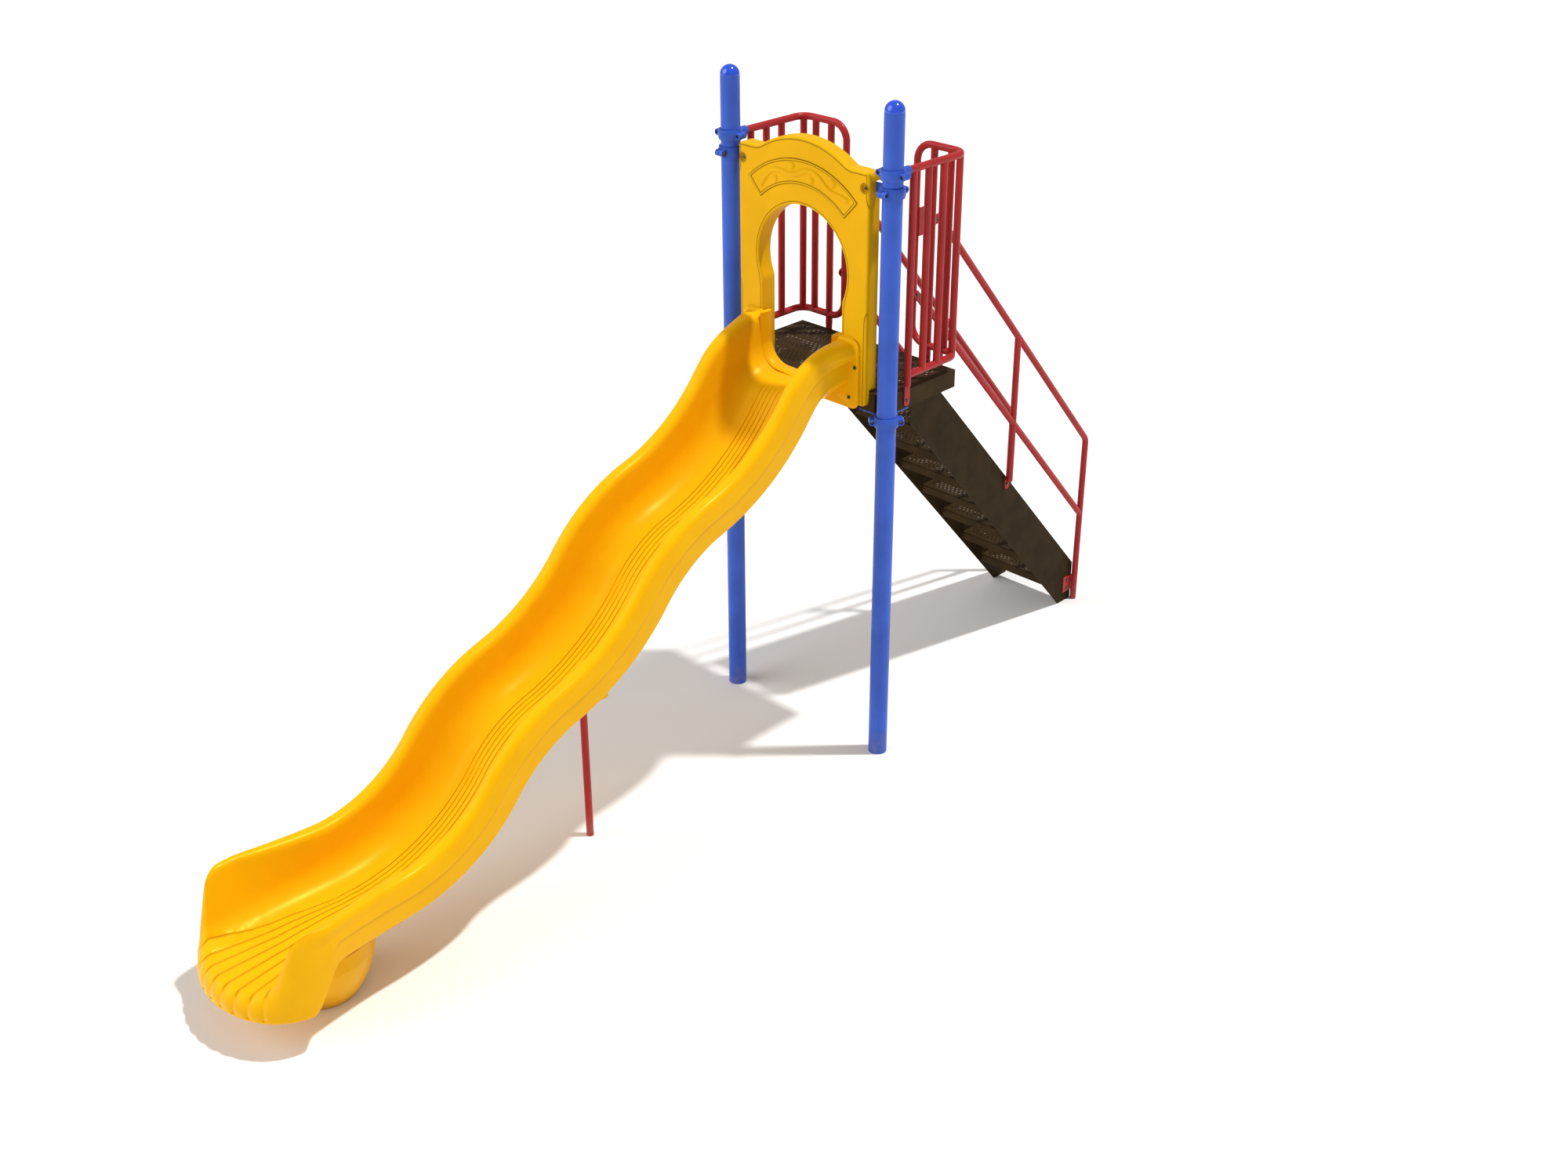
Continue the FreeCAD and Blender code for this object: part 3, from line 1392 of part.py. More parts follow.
def exit_foot():
    """An upturned tub, open below: its top follows the belly and its wall rises beside the belly's sides."""
    rim = lip_floor - slide_wall
    chute = joined(chute_body(0))
    tub = foot_solid(0, rim).cut(chute.translated(Z * -seat_gap))
    hollow = foot_solid(foot_wall, rim).cut(chute.translated(Z * (-seat_gap - foot_wall)))
    tub = tub.cut(hollow)
    for x, y in foot_bolt_places():
        tub = tub.cut(bolt_hole(vec(x, y, 0), Z, rim))
    return tub


def foot_bolt_places():
    return [(x, foot_y + y) for x in (-foot_bolt_reach, foot_bolt_reach)
            for y in (-foot_bolt_reach, foot_bolt_reach)]


# ---------------------------------------------------------------- fasteners
def through_bolt(seat, direction, grip):
    """A bolt and the nut that closes it, over the grip between the two seats."""
    bolt = button_bolt(seat, direction, grip + nut_height + thread_end)
    return bolt, hex_nut(seat + direction * grip, direction, nut_height, bolt_radius)


def panel_fasteners():
    """Bolts through the panel: four to the clamps' tabs, upper and lower ones through the flange."""
    pairs = []
    for side in (-1, 1):
        place = panel_places(side)
        tab_back = pocket_floor() + seat_gap + panel_tab_thickness
        seat_y = panel_front + panel_cup_depth
        pairs.append(through_bolt(place + Y * seat_y, Y, tab_back - seat_y))
        x, z = flange_bolt_upper
        pairs.append(through_bolt(vec(side * x, flange_front(), z), Y, panel_back - flange_front()))
        x, z = flange_bolt_lower
        pairs.append(through_bolt(vec(side * x, flange_front(), z), Y, deck_front + sheet - flange_front()))
    return pairs


def deck_fasteners():
    """Bolts in the deck's skirts and returns: clamp brackets, stringers and guard rail feet."""
    pairs = []
    for side in (-1, 1):
        out = X * side
        foot_face = deck_half_width + seat_gap + foot_tab_thickness
        grip = sheet + seat_gap + foot_tab_thickness
        pairs.append(through_bolt(vec(side * foot_face, guard_leg, guard_hole_z()), -out, grip))
        back_face = deck_back + seat_gap + foot_tab_thickness
        pairs.append(through_bolt(vec(side * guard_legs_back_x(), back_face, guard_hole_z()), -Y, grip))
        for x, z in stringer_bolt_places():
            face = stringer_front + stringer_thickness
            pairs.append(through_bolt(vec(side * x, face, z), -Y, face - deck_back + sheet))
        for x, y in bracket_bolt_places():
            low = deck_underside - deck_bracket_thickness
            pairs.append(through_bolt(vec(side * x, y, low), Z, deck_bracket_thickness + sheet))
    return pairs


def handrail_fasteners():
    """Bolts of the handrails on the +X side: gusset, guard rail end, stringer and foot plate."""
    pairs = []
    y, z = handrail_tab_hole
    outer = guard_end + rail_radius + 2 * (seat_gap + foot_tab_thickness)
    pairs.append(through_bolt(vec(outer, y, z), -X, outer - guard_end - rail_radius - seat_gap))
    outer = guard_end + rail_radius + seat_gap + foot_tab_thickness
    pairs.append(through_bolt(vec(outer, guard_y, mid_rail_hole_z()), -X, outer - guard_end + rail_radius))
    outer = stringer_outer + seat_gap + foot_tab_thickness
    for y, z in handrail_plate_holes() + [(mid_post_y, mid_post_hole)]:
        pairs.append(through_bolt(vec(outer, y, z), -X, outer - stringer_outer + stringer_thickness))
    return pairs


def support_bolts():
    """Bolts that enter the belly from below: two at the saddle and four in the exit foot."""
    bolts = []
    point, slope = belly_place(leg_y)
    up = above_slope(slope)
    for x in saddle_bolt_places():
        seat = point + X * x - up * (saddle_thickness + 3 * seat_gap)
        bolts.append(button_bolt(seat, up, saddle_thickness + 3 * seat_gap + slide_wall + thread_end))
    for x, y in foot_bolt_places():
        seat = vec(x, y, foot_top_z(y) - foot_wall - 3 * seat_gap)
        bolts.append(button_bolt(seat, Z, foot_wall + 3 * seat_gap + slide_wall + thread_end))
    return bolts


# ---------------------------------------------------------------- assembly
def both_sides(shapes):
    return shapes + [mirrored(shape) for shape in shapes]


def write(name, shapes):
    """Moves the pieces so that the footprint's middle is at the origin, and writes one node."""
    moved = [shape.translated(to_origin) for shape in shapes]
    solids = [solid for shape in moved for solid in shape.Solids]
    node = solids[0] if len(solids) == 1 else Part.makeCompound(solids)
    node.exportStep("parts/" + name + ".step")


def main():
    os.makedirs("parts", exist_ok=True)
    clamps, clamp_bolt_list, clamp_nut_list = clamp_nodes()
    sided = {
        "post": [post()],
        "post_cap": [post_cap()],
        "guard_rail": [guard_rail()],
        "guard_pickets": guard_pickets(),
        "guard_legs": guard_legs(),
        "guard_gusset": [gusset()],
        "stringer": [stringer()],
        "handrail": [top_rail()],
        "mid_rail": [mid_rail()],
        "mid_post": mid_post(),
        "handrail_plate": [handrail_plate()],
    }
    sided.update({name: [shape] for name, shape in clamps.items()})
    for name, shapes in sided.items():
        write(name + "_left", shapes)
        write(name + "_right", [mirrored(shape) for shape in shapes])
    for step in range(1, tread_count + 1):
        write("stair_tread_" + str(step), [stair_tread(step)])
    write("deck_panel", [deck_panel()])
    write("deck_stiffeners", deck_stiffeners())
    write("entrance_panel", [entrance_panel()])
    write("slide_chute", [slide_chute()])
    write("slide_leg", [mid_leg()])
    write("slide_saddle", [saddle()])
    write("exit_foot", [exit_foot()])
    write("support_bolts", support_bolts())
    write("clamp_bolts", both_sides(clamp_bolt_list))
    write("clamp_nuts", both_sides(clamp_nut_list))
    groups = {"panel": panel_fasteners(), "deck": deck_fasteners()}
    groups["handrail"] = [(turn(bolt), turn(nut)) for turn in (Part.Shape.copy, mirrored)
                          for bolt, nut in handrail_fasteners()]
    for name, pairs in groups.items():
        write(name + "_bolts", [bolt for bolt, nut in pairs])
        write(name + "_nuts", [nut for bolt, nut in pairs])


main()
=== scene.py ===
"""A playground slide with its deck, stair, guard rails and moulded entrance panel.

Lengths are metres in the frame of the solids: +Z up, the slide runs out towards -Y.
"""
import math

import bmesh
import bpy
import numpy as np
from bpy.props import FloatProperty, FloatVectorProperty, IntProperty, PointerProperty
from bpy.types import Operator, Panel, PropertyGroup
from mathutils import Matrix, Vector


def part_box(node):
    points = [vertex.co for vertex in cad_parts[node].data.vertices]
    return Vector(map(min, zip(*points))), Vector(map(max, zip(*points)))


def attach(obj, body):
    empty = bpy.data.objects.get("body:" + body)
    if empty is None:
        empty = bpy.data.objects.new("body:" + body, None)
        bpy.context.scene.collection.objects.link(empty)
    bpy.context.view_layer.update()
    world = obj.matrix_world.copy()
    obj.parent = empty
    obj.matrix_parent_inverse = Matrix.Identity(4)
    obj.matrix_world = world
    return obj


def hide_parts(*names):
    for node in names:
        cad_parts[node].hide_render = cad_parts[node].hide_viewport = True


bl_info = {
    "name": "Playground slide",
    "version": (1, 0, 0),
    "blender": (4, 5, 0),
    "location": "3D View > Sidebar > Slide",
    "description": "Moulded chute, panel relief, finishes and stage of a playground slide",
    "category": "Object",
}

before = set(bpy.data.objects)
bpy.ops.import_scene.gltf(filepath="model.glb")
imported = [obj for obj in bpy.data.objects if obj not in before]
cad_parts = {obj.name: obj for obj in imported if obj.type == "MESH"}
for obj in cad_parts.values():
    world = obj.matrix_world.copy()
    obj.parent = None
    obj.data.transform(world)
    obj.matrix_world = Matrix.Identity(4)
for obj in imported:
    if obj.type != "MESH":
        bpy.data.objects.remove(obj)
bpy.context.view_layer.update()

post_low, post_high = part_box("post_left")
leg_low, leg_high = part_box("slide_leg")
panel_low, panel_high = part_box("entrance_panel")
deck_low, deck_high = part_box("deck_panel")
post_line = float(post_low[1] + post_high[1]) / 2
leg_line = float(leg_low[1] + leg_high[1]) / 2
lip_front = float(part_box("slide_chute")[0][1])
deck_top = float(deck_high[2])
band_rise = 0.003
panel_face = panel_low[1] + band_rise

ROOT = "root"
MIRROR = np.array([-1, 1, 1])


# ---------------- sizes and colours
def length(name, description, default):
    return FloatProperty(name=name, description=description, default=default, unit="LENGTH", precision=4)


def amount(name, description, default, unit="NONE"):
    return FloatProperty(name=name, description=description, default=default, min=0, unit=unit)


def slope(name, description, default):
    return FloatProperty(name=name, description=description, default=math.radians(default), subtype="ANGLE")


def colour(name, description, default):
    return FloatVectorProperty(name=name, description=description, default=default, size=3,
                               subtype="COLOR", min=0, max=1)


class ChuteSizes(PropertyGroup):
    """Sizes of the moulded chute."""
    crest_entry: length("Crest at the entry", "Height of the crests where the chute leaves the deck",
                        deck_top + 0.2355)
    entry_run: length("Entry run", "Straight stretch at the entry", 0.1)
    entry_slope: slope("Entry slope", "Slope of the entry run", 5)
    entry_radius: length("Entry bend", "Radius of the first bend", 0.403)
    steep_slope: slope("Steep slope", "Slope of the steep stretches", 50)
    steep_run: length("Steep run", "Straight stretch after the first bend", 0.074)
    wave_radius: length("Wave radius", "Radius of the waves", 0.867)
    gentle_slope: slope("Gentle slope", "Slope of the gentle stretches", 16)
    exit_radius: length("Exit bend", "Radius of the last bend", 0.6)
    runout_slope: slope("Runout slope", "Slope where the waves end", 2)
    crest_offset: length("Crest offset", "From the middle to each crest", 0.256)
    crest_radius: length("Crest radius", "Radius of the rolled crests", 0.036)
    floor_depth: length("Floor depth", "From the crests down to the floor", 0.24)
    floor_half: length("Floor half width", "Half of the flat floor", 0.1)
    floor_corner: length("Floor corner", "Radius between floor and wall", 0.115)
    floor_thickness: length("Floor thickness", "From the floor to the underside", 0.065)
    outer_half: length("Outer half width", "From the middle to the outer face", 0.306)
    ridge_inset: length("Ridge inset", "From the outer face in to the ridge below the crest", 0.006)
    ridge_drop: length("Ridge drop", "From the crest down to the ridge", 0.052)
    ledge_drop: length("Ledge drop", "From the crest down to the ledge", 0.086)
    ledge_step: length("Ledge step", "Width and height of the ledge", 0.005)
    knee_inset: length("Knee inset", "From the outer face in to the belly's first bend", 0.066)
    knee_rise: length("Knee rise", "From the floor up to the belly's first bend", 0.005)
    hip_inset: length("Hip inset", "From the outer face in to the belly's second bend", 0.122)
    hip_drop: length("Hip drop", "From the floor down to the belly's second bend", 0.048)
    belly_half: length("Belly half width", "Half of the belly's flat underside", 0.09)
    entry_swell: length("Entry swell", "Extra width of the crests at the flange", 0.042)
    swell_run: length("Swell run", "Length over which the entry swell dies away", 0.2)
    flange_fillet: length("Flange fillet", "Radius between flange and outer face", 0.014)
    flare_length: length("Flare length", "Length over which the exit widens", 0.38)
    flare_crest: length("Flare of the crests", "How far each crest moves out", 0.062)
    flare_outer: length("Flare of the sides", "How far each side moves out", 0.04)
    flare_floor: length("Flare of the floor", "How far the flat floor widens on each side", 0.04)
    flare_crest_radius: length("Crest radius at the exit", "Radius of the crests at the exit", 0.028)
    flare_slope: slope("Flare slope", "Slope of the crests along the flare", -1)
    lip_floor: length("Lip height", "Height of the floor at the exit lip", 0.282)
    lip_bottom: length("Lip underside", "Height of the exit lip's underside", 0.174)
    lip_round: length("Lip rounding", "Radius of the lip's upper edge", 0.06)
    lip_corner: length("Lip corner", "Radius of the lip's corners in plan", 0.26)
    lip_bow: length("Lip bow", "Radius of the lip's bowed front in plan", 0.43)
    nose_start: length("Wall end", "From the lip's front back to where the walls start to fall", 0.275)
    nose_radius: length("Wall end radius", "Radius of the walls' rounded ends", 0.145)
    nose_slope: slope("Wall end slope", "Steepest slope of the walls' ends", 78)
    nose_blend: amount("Wall end blend", "Power of the blend of wall and end; less is softer", 1.8)
    heel_start: length("Heel start", "From the end of the waves to where the skirt starts to deepen", 0.335)
    heel_run: length("Heel run", "Length over which the skirt deepens to the lip's underside", 0.16)
    bottom_face: length("Bottom face", "Upright face between the lip's upper and lower rounding", 0.012)
    bottom_round: length("Bottom rounding", "Radius of the lip's lower edge", 0.016)
    groove_pitch: length("Groove pitch", "Distance between the floor's grooves", 0.0245)
    groove_depth: length("Groove depth", "Depth of the grooves in the trough", 0.0028)
    rib_depth: length("Rib depth", "Depth between the ribs of the exit lip", 0.0063)
    fan_length: length("Fan length", "From where the floor's ribs start to fan out to the lip", 0.62)
    rib_spread: amount("Rib spread", "How much wider the ribs are at the lip's front", 2.9)
    flange_half: length("Flange half width", "Half width of the flange on the panel", 0.352)
    flange_top: length("Flange top", "Height of the flange's top", deck_top + 0.244)
    flange_bottom: length("Flange bottom", "Height of the flange's bottom", deck_top - 0.078)
    flange_thickness: length("Flange thickness", "Thickness of the flange", 0.012)
    flange_corner: length("Flange corner", "Radius of the flange's corners", 0.036)
    entry_half: length("Entry half width", "Half width of the passage at the deck", 0.206)
    entry_floor: length("Entry floor", "Height of the passage's floor at the deck", deck_top + 0.0035)
    entry_corner: length("Entry corner", "Radius of the passage's lower corners", 0.11)
    entry_wall: length("Entry lip", "Thickness of the rolled entry lip", 0.024)
    skirt_depth: length("Skirt depth", "From the crests down to the skirt's lower edge", 0.176)
    lug_reach: length("Lug reach", "From the middle leg forward to the skirt's lug", 0.102)
    lug_length: length("Lug length", "Length of the lug", 0.06)
    lug_width: length("Lug width", "Width of the lug", 0.018)
    lug_inset: length("Lug inset", "From the skirt's outer face in to the lug", 0.008)
    lug_depth: length("Lug depth", "How far the lug stands below the skirt", 0.028)
    lug_overlap: length("Lug overlap", "How far the lug reaches up into the skirt", 0.01)


class BannerSizes(PropertyGroup):
    """Sizes of the raised band on the entrance panel."""
    centre: length("Centre height", "Height of the band's centre", deck_top + 0.506)
    middle: length("Middle radius", "Radius of the band's middle", 0.416)
    reach: length("Relief width", "Width that the relief takes across the band", 0.082)
    half_angle: slope("Half angle", "Half of the relief's arc", 40)
    waves: IntProperty(name="Waves", description="Number of waves along the band", default=5, min=1, max=20)
    height: length("Relief height", "Height of the wave and the studs", 0.0075)
    ridge: length("Ridge width", "Half width of the wave's ridge", 0.0115)
    stud: length("Stud radius", "Radius of the studs", 0.0185)
    edge_reach: length("Edge reach", "From the band's middle to its edge", 0.054)
    edge_angle: slope("Edge angle", "Half of the band's arc", 43)
    border: length("Border", "Width of the band's border", 0.0095)


class SurfaceSizes(PropertyGroup):
    """Sizes of lines and holes. Heights are above the deck."""
    groove_inset: length("Panel groove", "From the panel's edge to its groove", 0.0135)
    arch_groove: length("Opening groove", "From the opening's edge to its groove", 0.0125)
    groove_width: length("Groove width", "Half width of the panel's grooves", 0.003)
    shoulder: length("Shoulder", "Height of the panel's shoulders", 0.991)
    crown_height: length("Crown height", "Height of the crown's centre", 0.61)
    crown_radius: length("Crown radius", "Radius of the crown", 0.462)
    arch_height: length("Arch height", "Height of the opening's centre", 0.511)
    arch_radius: length("Arch radius", "Radius of the opening's round head", 0.265)
    neck_half: length("Neck half width", "Half width of the opening's neck", 0.239)
    neck_top: length("Neck top", "Height where the neck ends", 0.45)
    corner_blend: length("Corner blend", "Softness of the grooves' corners", 0.03)
    bolt_x: length("Bolt place", "From the middle to the panel's bolts", 0.358)
    bolt_height: length("Bolt height", "Height of the panel's bolts", 0.922)
    cup_radius: length("Cup radius", "Radius of the recess round a bolt", 0.0205)
    hole_pitch: length("Hole pitch", "Distance between the holes of a row", 0.0254)
    row_pitch: length("Row pitch", "Distance between the rows of holes", 0.02032)
    hole_radius: length("Hole radius", "Radius of the holes", 0.0052)
    plain_edge: length("Plain edge", "Unpierced edge round the deck", 0.05)
    plain_strip: length("Plain strip", "Unpierced strip between the deck's patches", 0.035)


class Finishes(PropertyGroup):
    """Colours of the finishes."""
    post_blue: colour("Post blue", "Powder coat of the posts and clamps", (0.043, 0.118, 0.585))
    cap_blue: colour("Cap blue", "Post caps", (0.012, 0.08, 0.66))
    slide_yellow: colour("Slide yellow", "Moulded chute", (0.9, 0.46, 0.003))
    slide_amber: colour("Slide amber", "Deeper tone of the moulded chute", (0.84, 0.38, 0.001))
    panel_yellow: colour("Panel yellow", "Moulded entrance panel", (0.8, 0.425, 0.003))
    rail_red: colour("Rail red", "Powder coat of rails and handrails", (0.41, 0.023, 0.024))
    deck_brown: colour("Deck brown", "Coating of deck, stringers and treads", (0.044, 0.027, 0.011))
    steel: colour("Steel", "Bolts and nuts", (0.12, 0.12, 0.125))
    floor: colour("Floor", "Studio floor", (0.9, 0.885, 0.86))


class StageSizes(PropertyGroup):
    """Camera, lamps and floor."""
    camera_place: FloatVectorProperty(name="Camera place", description="Where the camera stands", size=3,
                                      default=(5.4453, -5.1846, 4.9752), subtype="TRANSLATION", unit="LENGTH")
    camera_turn: slope("Camera turn", "Turn of the camera about the vertical", 43.6)
    camera_tilt: slope("Camera tilt", "How far the camera looks down", 28.034)
    lens: amount("Lens", "Focal length on a 36 mm sensor", 43.21, "CAMERA")
    sun_height: slope("Sun height", "Height of the key light above the horizon", 68.4)
    sun_bearing: slope("Sun bearing", "Direction of the key light, from +X towards +Y", 45)
    sun_strength: amount("Sun strength", "Strength of the key light", 2.6)
    sun_width: slope("Sun width", "Apparent width of the key light", 2.5)
    fill_height: slope("Fill height", "Height of the fill light above the horizon", 29.7)
    fill_bearing: slope("Fill bearing", "Direction of the fill light, from +X towards +Y", -121)
    fill_strength: amount("Fill strength", "Strength of the fill light", 1.5)
    fill_width: slope("Fill width", "Apparent width of the fill light", 50)
    sky_strength: amount("Sky strength", "Strength of the even studio light", 0.38)
    floor_glow: amount("Floor glow", "Light added to the floor as the camera sees it", 0.03)
    floor_size: length("Floor size", "Width of the studio floor", 60)
    floor_drop: length("Floor drop", "From the ground down to the floor's sheet", 0.0005)


# ---------------- surfaces
def unit(vectors):
    return vectors / np.maximum(np.linalg.norm(vectors, axis=-1, keepdims=True), 1e-12)


def mix(share, first, second):
    return share * first + (1 - share) * second


def smooth_step(low, high, values):
    """0 below low, 1 above high, and 3 s^2 - 2 s^3 of the share s between."""
    share = np.clip((values - low) / (high - low), 0, 1)
    return share * share * (3 - 2 * share)


def rounded(corners, radii, arc_steps, run_steps):
    """Straight runs between the corners, joined by tangent arcs.

    An arc touches both runs at its radius times the tangent of half the turn from the corner. Its points
    turn evenly about its centre from one touching point to the other. Returns the points, and for each
    corner the numbers of the arc's first and last point.
    """
    toward = unit(corners[..., 1:-1, :] - corners[..., :-2, :])
    away = unit(corners[..., 2:, :] - corners[..., 1:-1, :])
    turn = np.maximum(np.arccos(np.clip((toward * away).sum(-1), -1, 1)), 1e-4)[..., None]
    radius = np.asarray(radii, float)[..., None]
    middle = corners[..., 1:-1, :]
    setback = radius * np.tan(turn / 2)
    first, last = middle - toward * setback, middle + away * setback
    centre = middle + unit(away - toward) * radius / np.cos(turn / 2)
    share = np.linspace(0, 1, arc_steps + 1)[:, None]
    first, last, centre, turn = (part[..., None, :] for part in (first, last, centre, turn))
    swept = (first - centre) * np.sin((1 - share) * turn) + (last - centre) * np.sin(share * turn)
    arcs = centre + swept / np.sin(turn)
    parts, marks, count = [corners[..., :1, :]], [], 1
    for index, steps in enumerate(run_steps):
        start = parts[-1][..., -1:, :]
        ends = index == len(run_steps) - 1
        end = corners[..., -1:, :] if ends else arcs[..., index, :1, :]
        along = np.linspace(0, 1, steps + 1)[1:-1, None]
        parts.append(start + (end - start) * along)
        parts.append(end if ends else arcs[..., index, :, :])
        if not ends:
            marks.append((count + steps - 1, count + steps - 1 + arc_steps))
        count += steps - 1 + (1 if ends else arc_steps + 1)
    return np.concatenate(parts, axis=-2), marks


def grid_normals(grid):
    """Unit normals of a grid of points, from the cross product of its two directions."""
    return unit(np.nan_to_num(np.cross(np.gradient(grid, axis=0), np.gradient(grid, axis=1))))


def quads(rows, columns, start):
    """Four corners of every cell of a grid numbered row by row, the last column joined to the first."""
    number = np.arange(rows * columns).reshape(rows, columns) + start
    number = np.hstack([number, number[:, :1]])
    cells = [number[:-1, :-1], number[:-1, 1:], number[1:, 1:], number[1:, :-1]]
    return np.stack(cells, axis=-1).reshape(-1, 4)


def link(name, data):
    """An object of the scene that shows the data."""
    made = bpy.data.objects.new(name, data)
    bpy.context.scene.collection.objects.link(made)
    return made


WELD = 2e-5
SHARP = math.radians(32)


def build(name, grids, material):
    """One piece from grids of points: cells become faces, doubles are merged, holes are closed."""
    points, faces, start = [], [], 0
    for grid in grids:
        rows, columns = grid.shape[:2]
        points.append(grid.reshape(-1, 3))
        faces.append(quads(rows, columns, start))
        start += rows * columns
    mesh = bpy.data.meshes.new(name)
    mesh.from_pydata(np.concatenate(points).tolist(), [], np.concatenate(faces).tolist())
    shape = bmesh.new()
    shape.from_mesh(mesh)
    bmesh.ops.remove_doubles(shape, verts=shape.verts, dist=WELD)
    bmesh.ops.dissolve_degenerate(shape, edges=shape.edges, dist=WELD)
    rim = [edge for edge in shape.edges if edge.is_boundary]
    if rim:
        bmesh.ops.holes_fill(shape, edges=rim, sides=0)
    bmesh.ops.recalc_face_normals(shape, faces=shape.faces)
    for face in shape.faces:
        face.smooth = True
    shape.to_mesh(mesh)
    shape.free()
    mesh.set_sharp_from_angle(angle=SHARP)
    mesh.materials.append(material)
    piece = link(name, mesh)
    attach(piece, ROOT)
    return piece


# ---------------- chute
def wave_line(sizes, spacing):
    """Y, Z and slope along the crest line, from the end of the entry run to the runout.

    On an arc of radius R the slope turns evenly from a to b, the line moves forward by R |sin b - sin a|
    and falls by R |cos a - cos b|.
    """
    y = float(panel_face) - sizes.entry_run * math.cos(sizes.entry_slope)
    z = sizes.crest_entry - sizes.entry_run * math.sin(sizes.entry_slope)
    steep, gentle, wave = sizes.steep_slope, sizes.gentle_slope, sizes.wave_radius
    bends = [(sizes.entry_radius, steep), (0, sizes.steep_run), (wave, gentle), (wave, steep),
             (wave, gentle), (wave, steep), (sizes.exit_radius, sizes.runout_slope)]
    angle = sizes.entry_slope
    lines = [np.array([[y, z, angle]])]
    for radius, value in bends:
        start = lines[-1][-1]
        run = radius * abs(value - angle) if radius else value
        share = np.linspace(0, 1, max(2, math.ceil(run / spacing)) + 1)[1:]
        if radius:
            turned = angle + (value - angle) * share
            forward = radius * np.abs(np.sin(turned) - math.sin(angle))
            fall = radius * np.abs(np.cos(turned) - math.cos(angle))
            angle = value
        else:
            turned = np.full_like(share, angle)
            forward, fall = value * share * math.cos(angle), value * share * math.sin(angle)
        lines.append(np.stack([start[0] - forward, start[1] - fall, turned], axis=-1))
    return np.concatenate(lines)


# From the floor's middle to the belly's: straight runs, arcs between them, and the radii below the crest.
RUN_STEPS = (44, 7, 2, 2, 2, 1, 4, 3, 3, 3, 3)
ARC_STEPS = 8
LOWER_RADII = (0.018, 0.007, 0.003, 0.012, 0.015, 0.025, 0.03)
CREST_FLAT = 0.001
# Shares of the swell that the crest's width, the ledge's width and the ledge's depth take.
CREST_SWELL, LEDGE_SWELL, LEDGE_FALL = 0.8, 0.2, 0.1


def half_section(sizes, eased, floor_depth, swell):
    """The right half of the chute's section for each station, from the floor's middle to the belly's.

    The corners are (X, height from the crest). Floor and wall meet in the floor's round corner, two
    quarter turns make the crest, and below it come the ridge, the ledge, the skirt and the belly.
    eased goes from 0 to 1 along the flare, swell is the extra width near the flange.
    """
    radius = sizes.crest_radius + (sizes.flare_crest_radius - sizes.crest_radius) * eased
    crest = sizes.crest_offset + sizes.flare_crest * eased
    outer = sizes.outer_half + sizes.flare_outer * eased
    wall_x = sizes.floor_half + sizes.flare_floor * eased + sizes.floor_corner
    wall_n = -floor_depth + sizes.floor_corner
    lean = (crest - radius - wall_x) / (-radius - wall_n)
    below = sizes.floor_depth
    corners = (
        (0, -floor_depth),
        (wall_x + lean * (-floor_depth - wall_n), -floor_depth),
        (wall_x - lean * wall_n, 0),
        (crest + radius - CREST_FLAT + CREST_SWELL * swell, 0),
        (outer - sizes.ridge_inset + swell, -sizes.ridge_drop),
        (outer + LEDGE_SWELL * swell, -sizes.ledge_drop),
        (outer - sizes.ledge_step, -sizes.ledge_drop - sizes.ledge_step - LEDGE_FALL * swell),
        (outer - sizes.ledge_step, -sizes.skirt_depth),
        (outer - sizes.knee_inset, sizes.knee_rise - below),
        (outer - sizes.hip_inset, -below - sizes.hip_drop),
        (sizes.belly_half, -below - sizes.floor_thickness),
        (0, -below - sizes.floor_thickness))
    one = np.ones_like(eased)
    corners = np.stack([np.stack([x * one, n * one], -1) for x, n in corners], axis=-2)
    radii = (sizes.floor_corner, radius, radius - CREST_FLAT) + LOWER_RADII
    return rounded(corners, np.stack([value * one for value in radii], axis=-1), ARC_STEPS, RUN_STEPS)


# The fillet starts this many points past the start of the crest's second arc.
FILLET_POINTS = 3


def flange_fillet(points, distance, radius, first):
    """Grows the outer skin near the flange: by r - sqrt(r^2 - (r - d)^2) at a distance d below r."""
    gap = np.clip(radius - distance, 0, radius)[:, None]
    grow = radius - np.sqrt(radius ** 2 - gap ** 2)
    along = unit(np.gradient(points, axis=1))
    outward = np.stack([-along[..., 1], along[..., 0]], axis=-1)
    outer = np.arange(points.shape[1]) > first
    return points + outward * (grow * outer)[..., None]


STATION_SPACING = 0.02
# Distances of the first stations from the panel, closest where the fillet curves.
ENTRY_STATIONS = (0, 0.013, 0.015, 0.018, 0.022, 0.027, 0.034, 0.043, 0.055, 0.07, 0.085)
# The flange lies against the panel and the skin ends just inside it.
FLANGE_GAP = 0.0003
SKIN_GAP = 0.0005


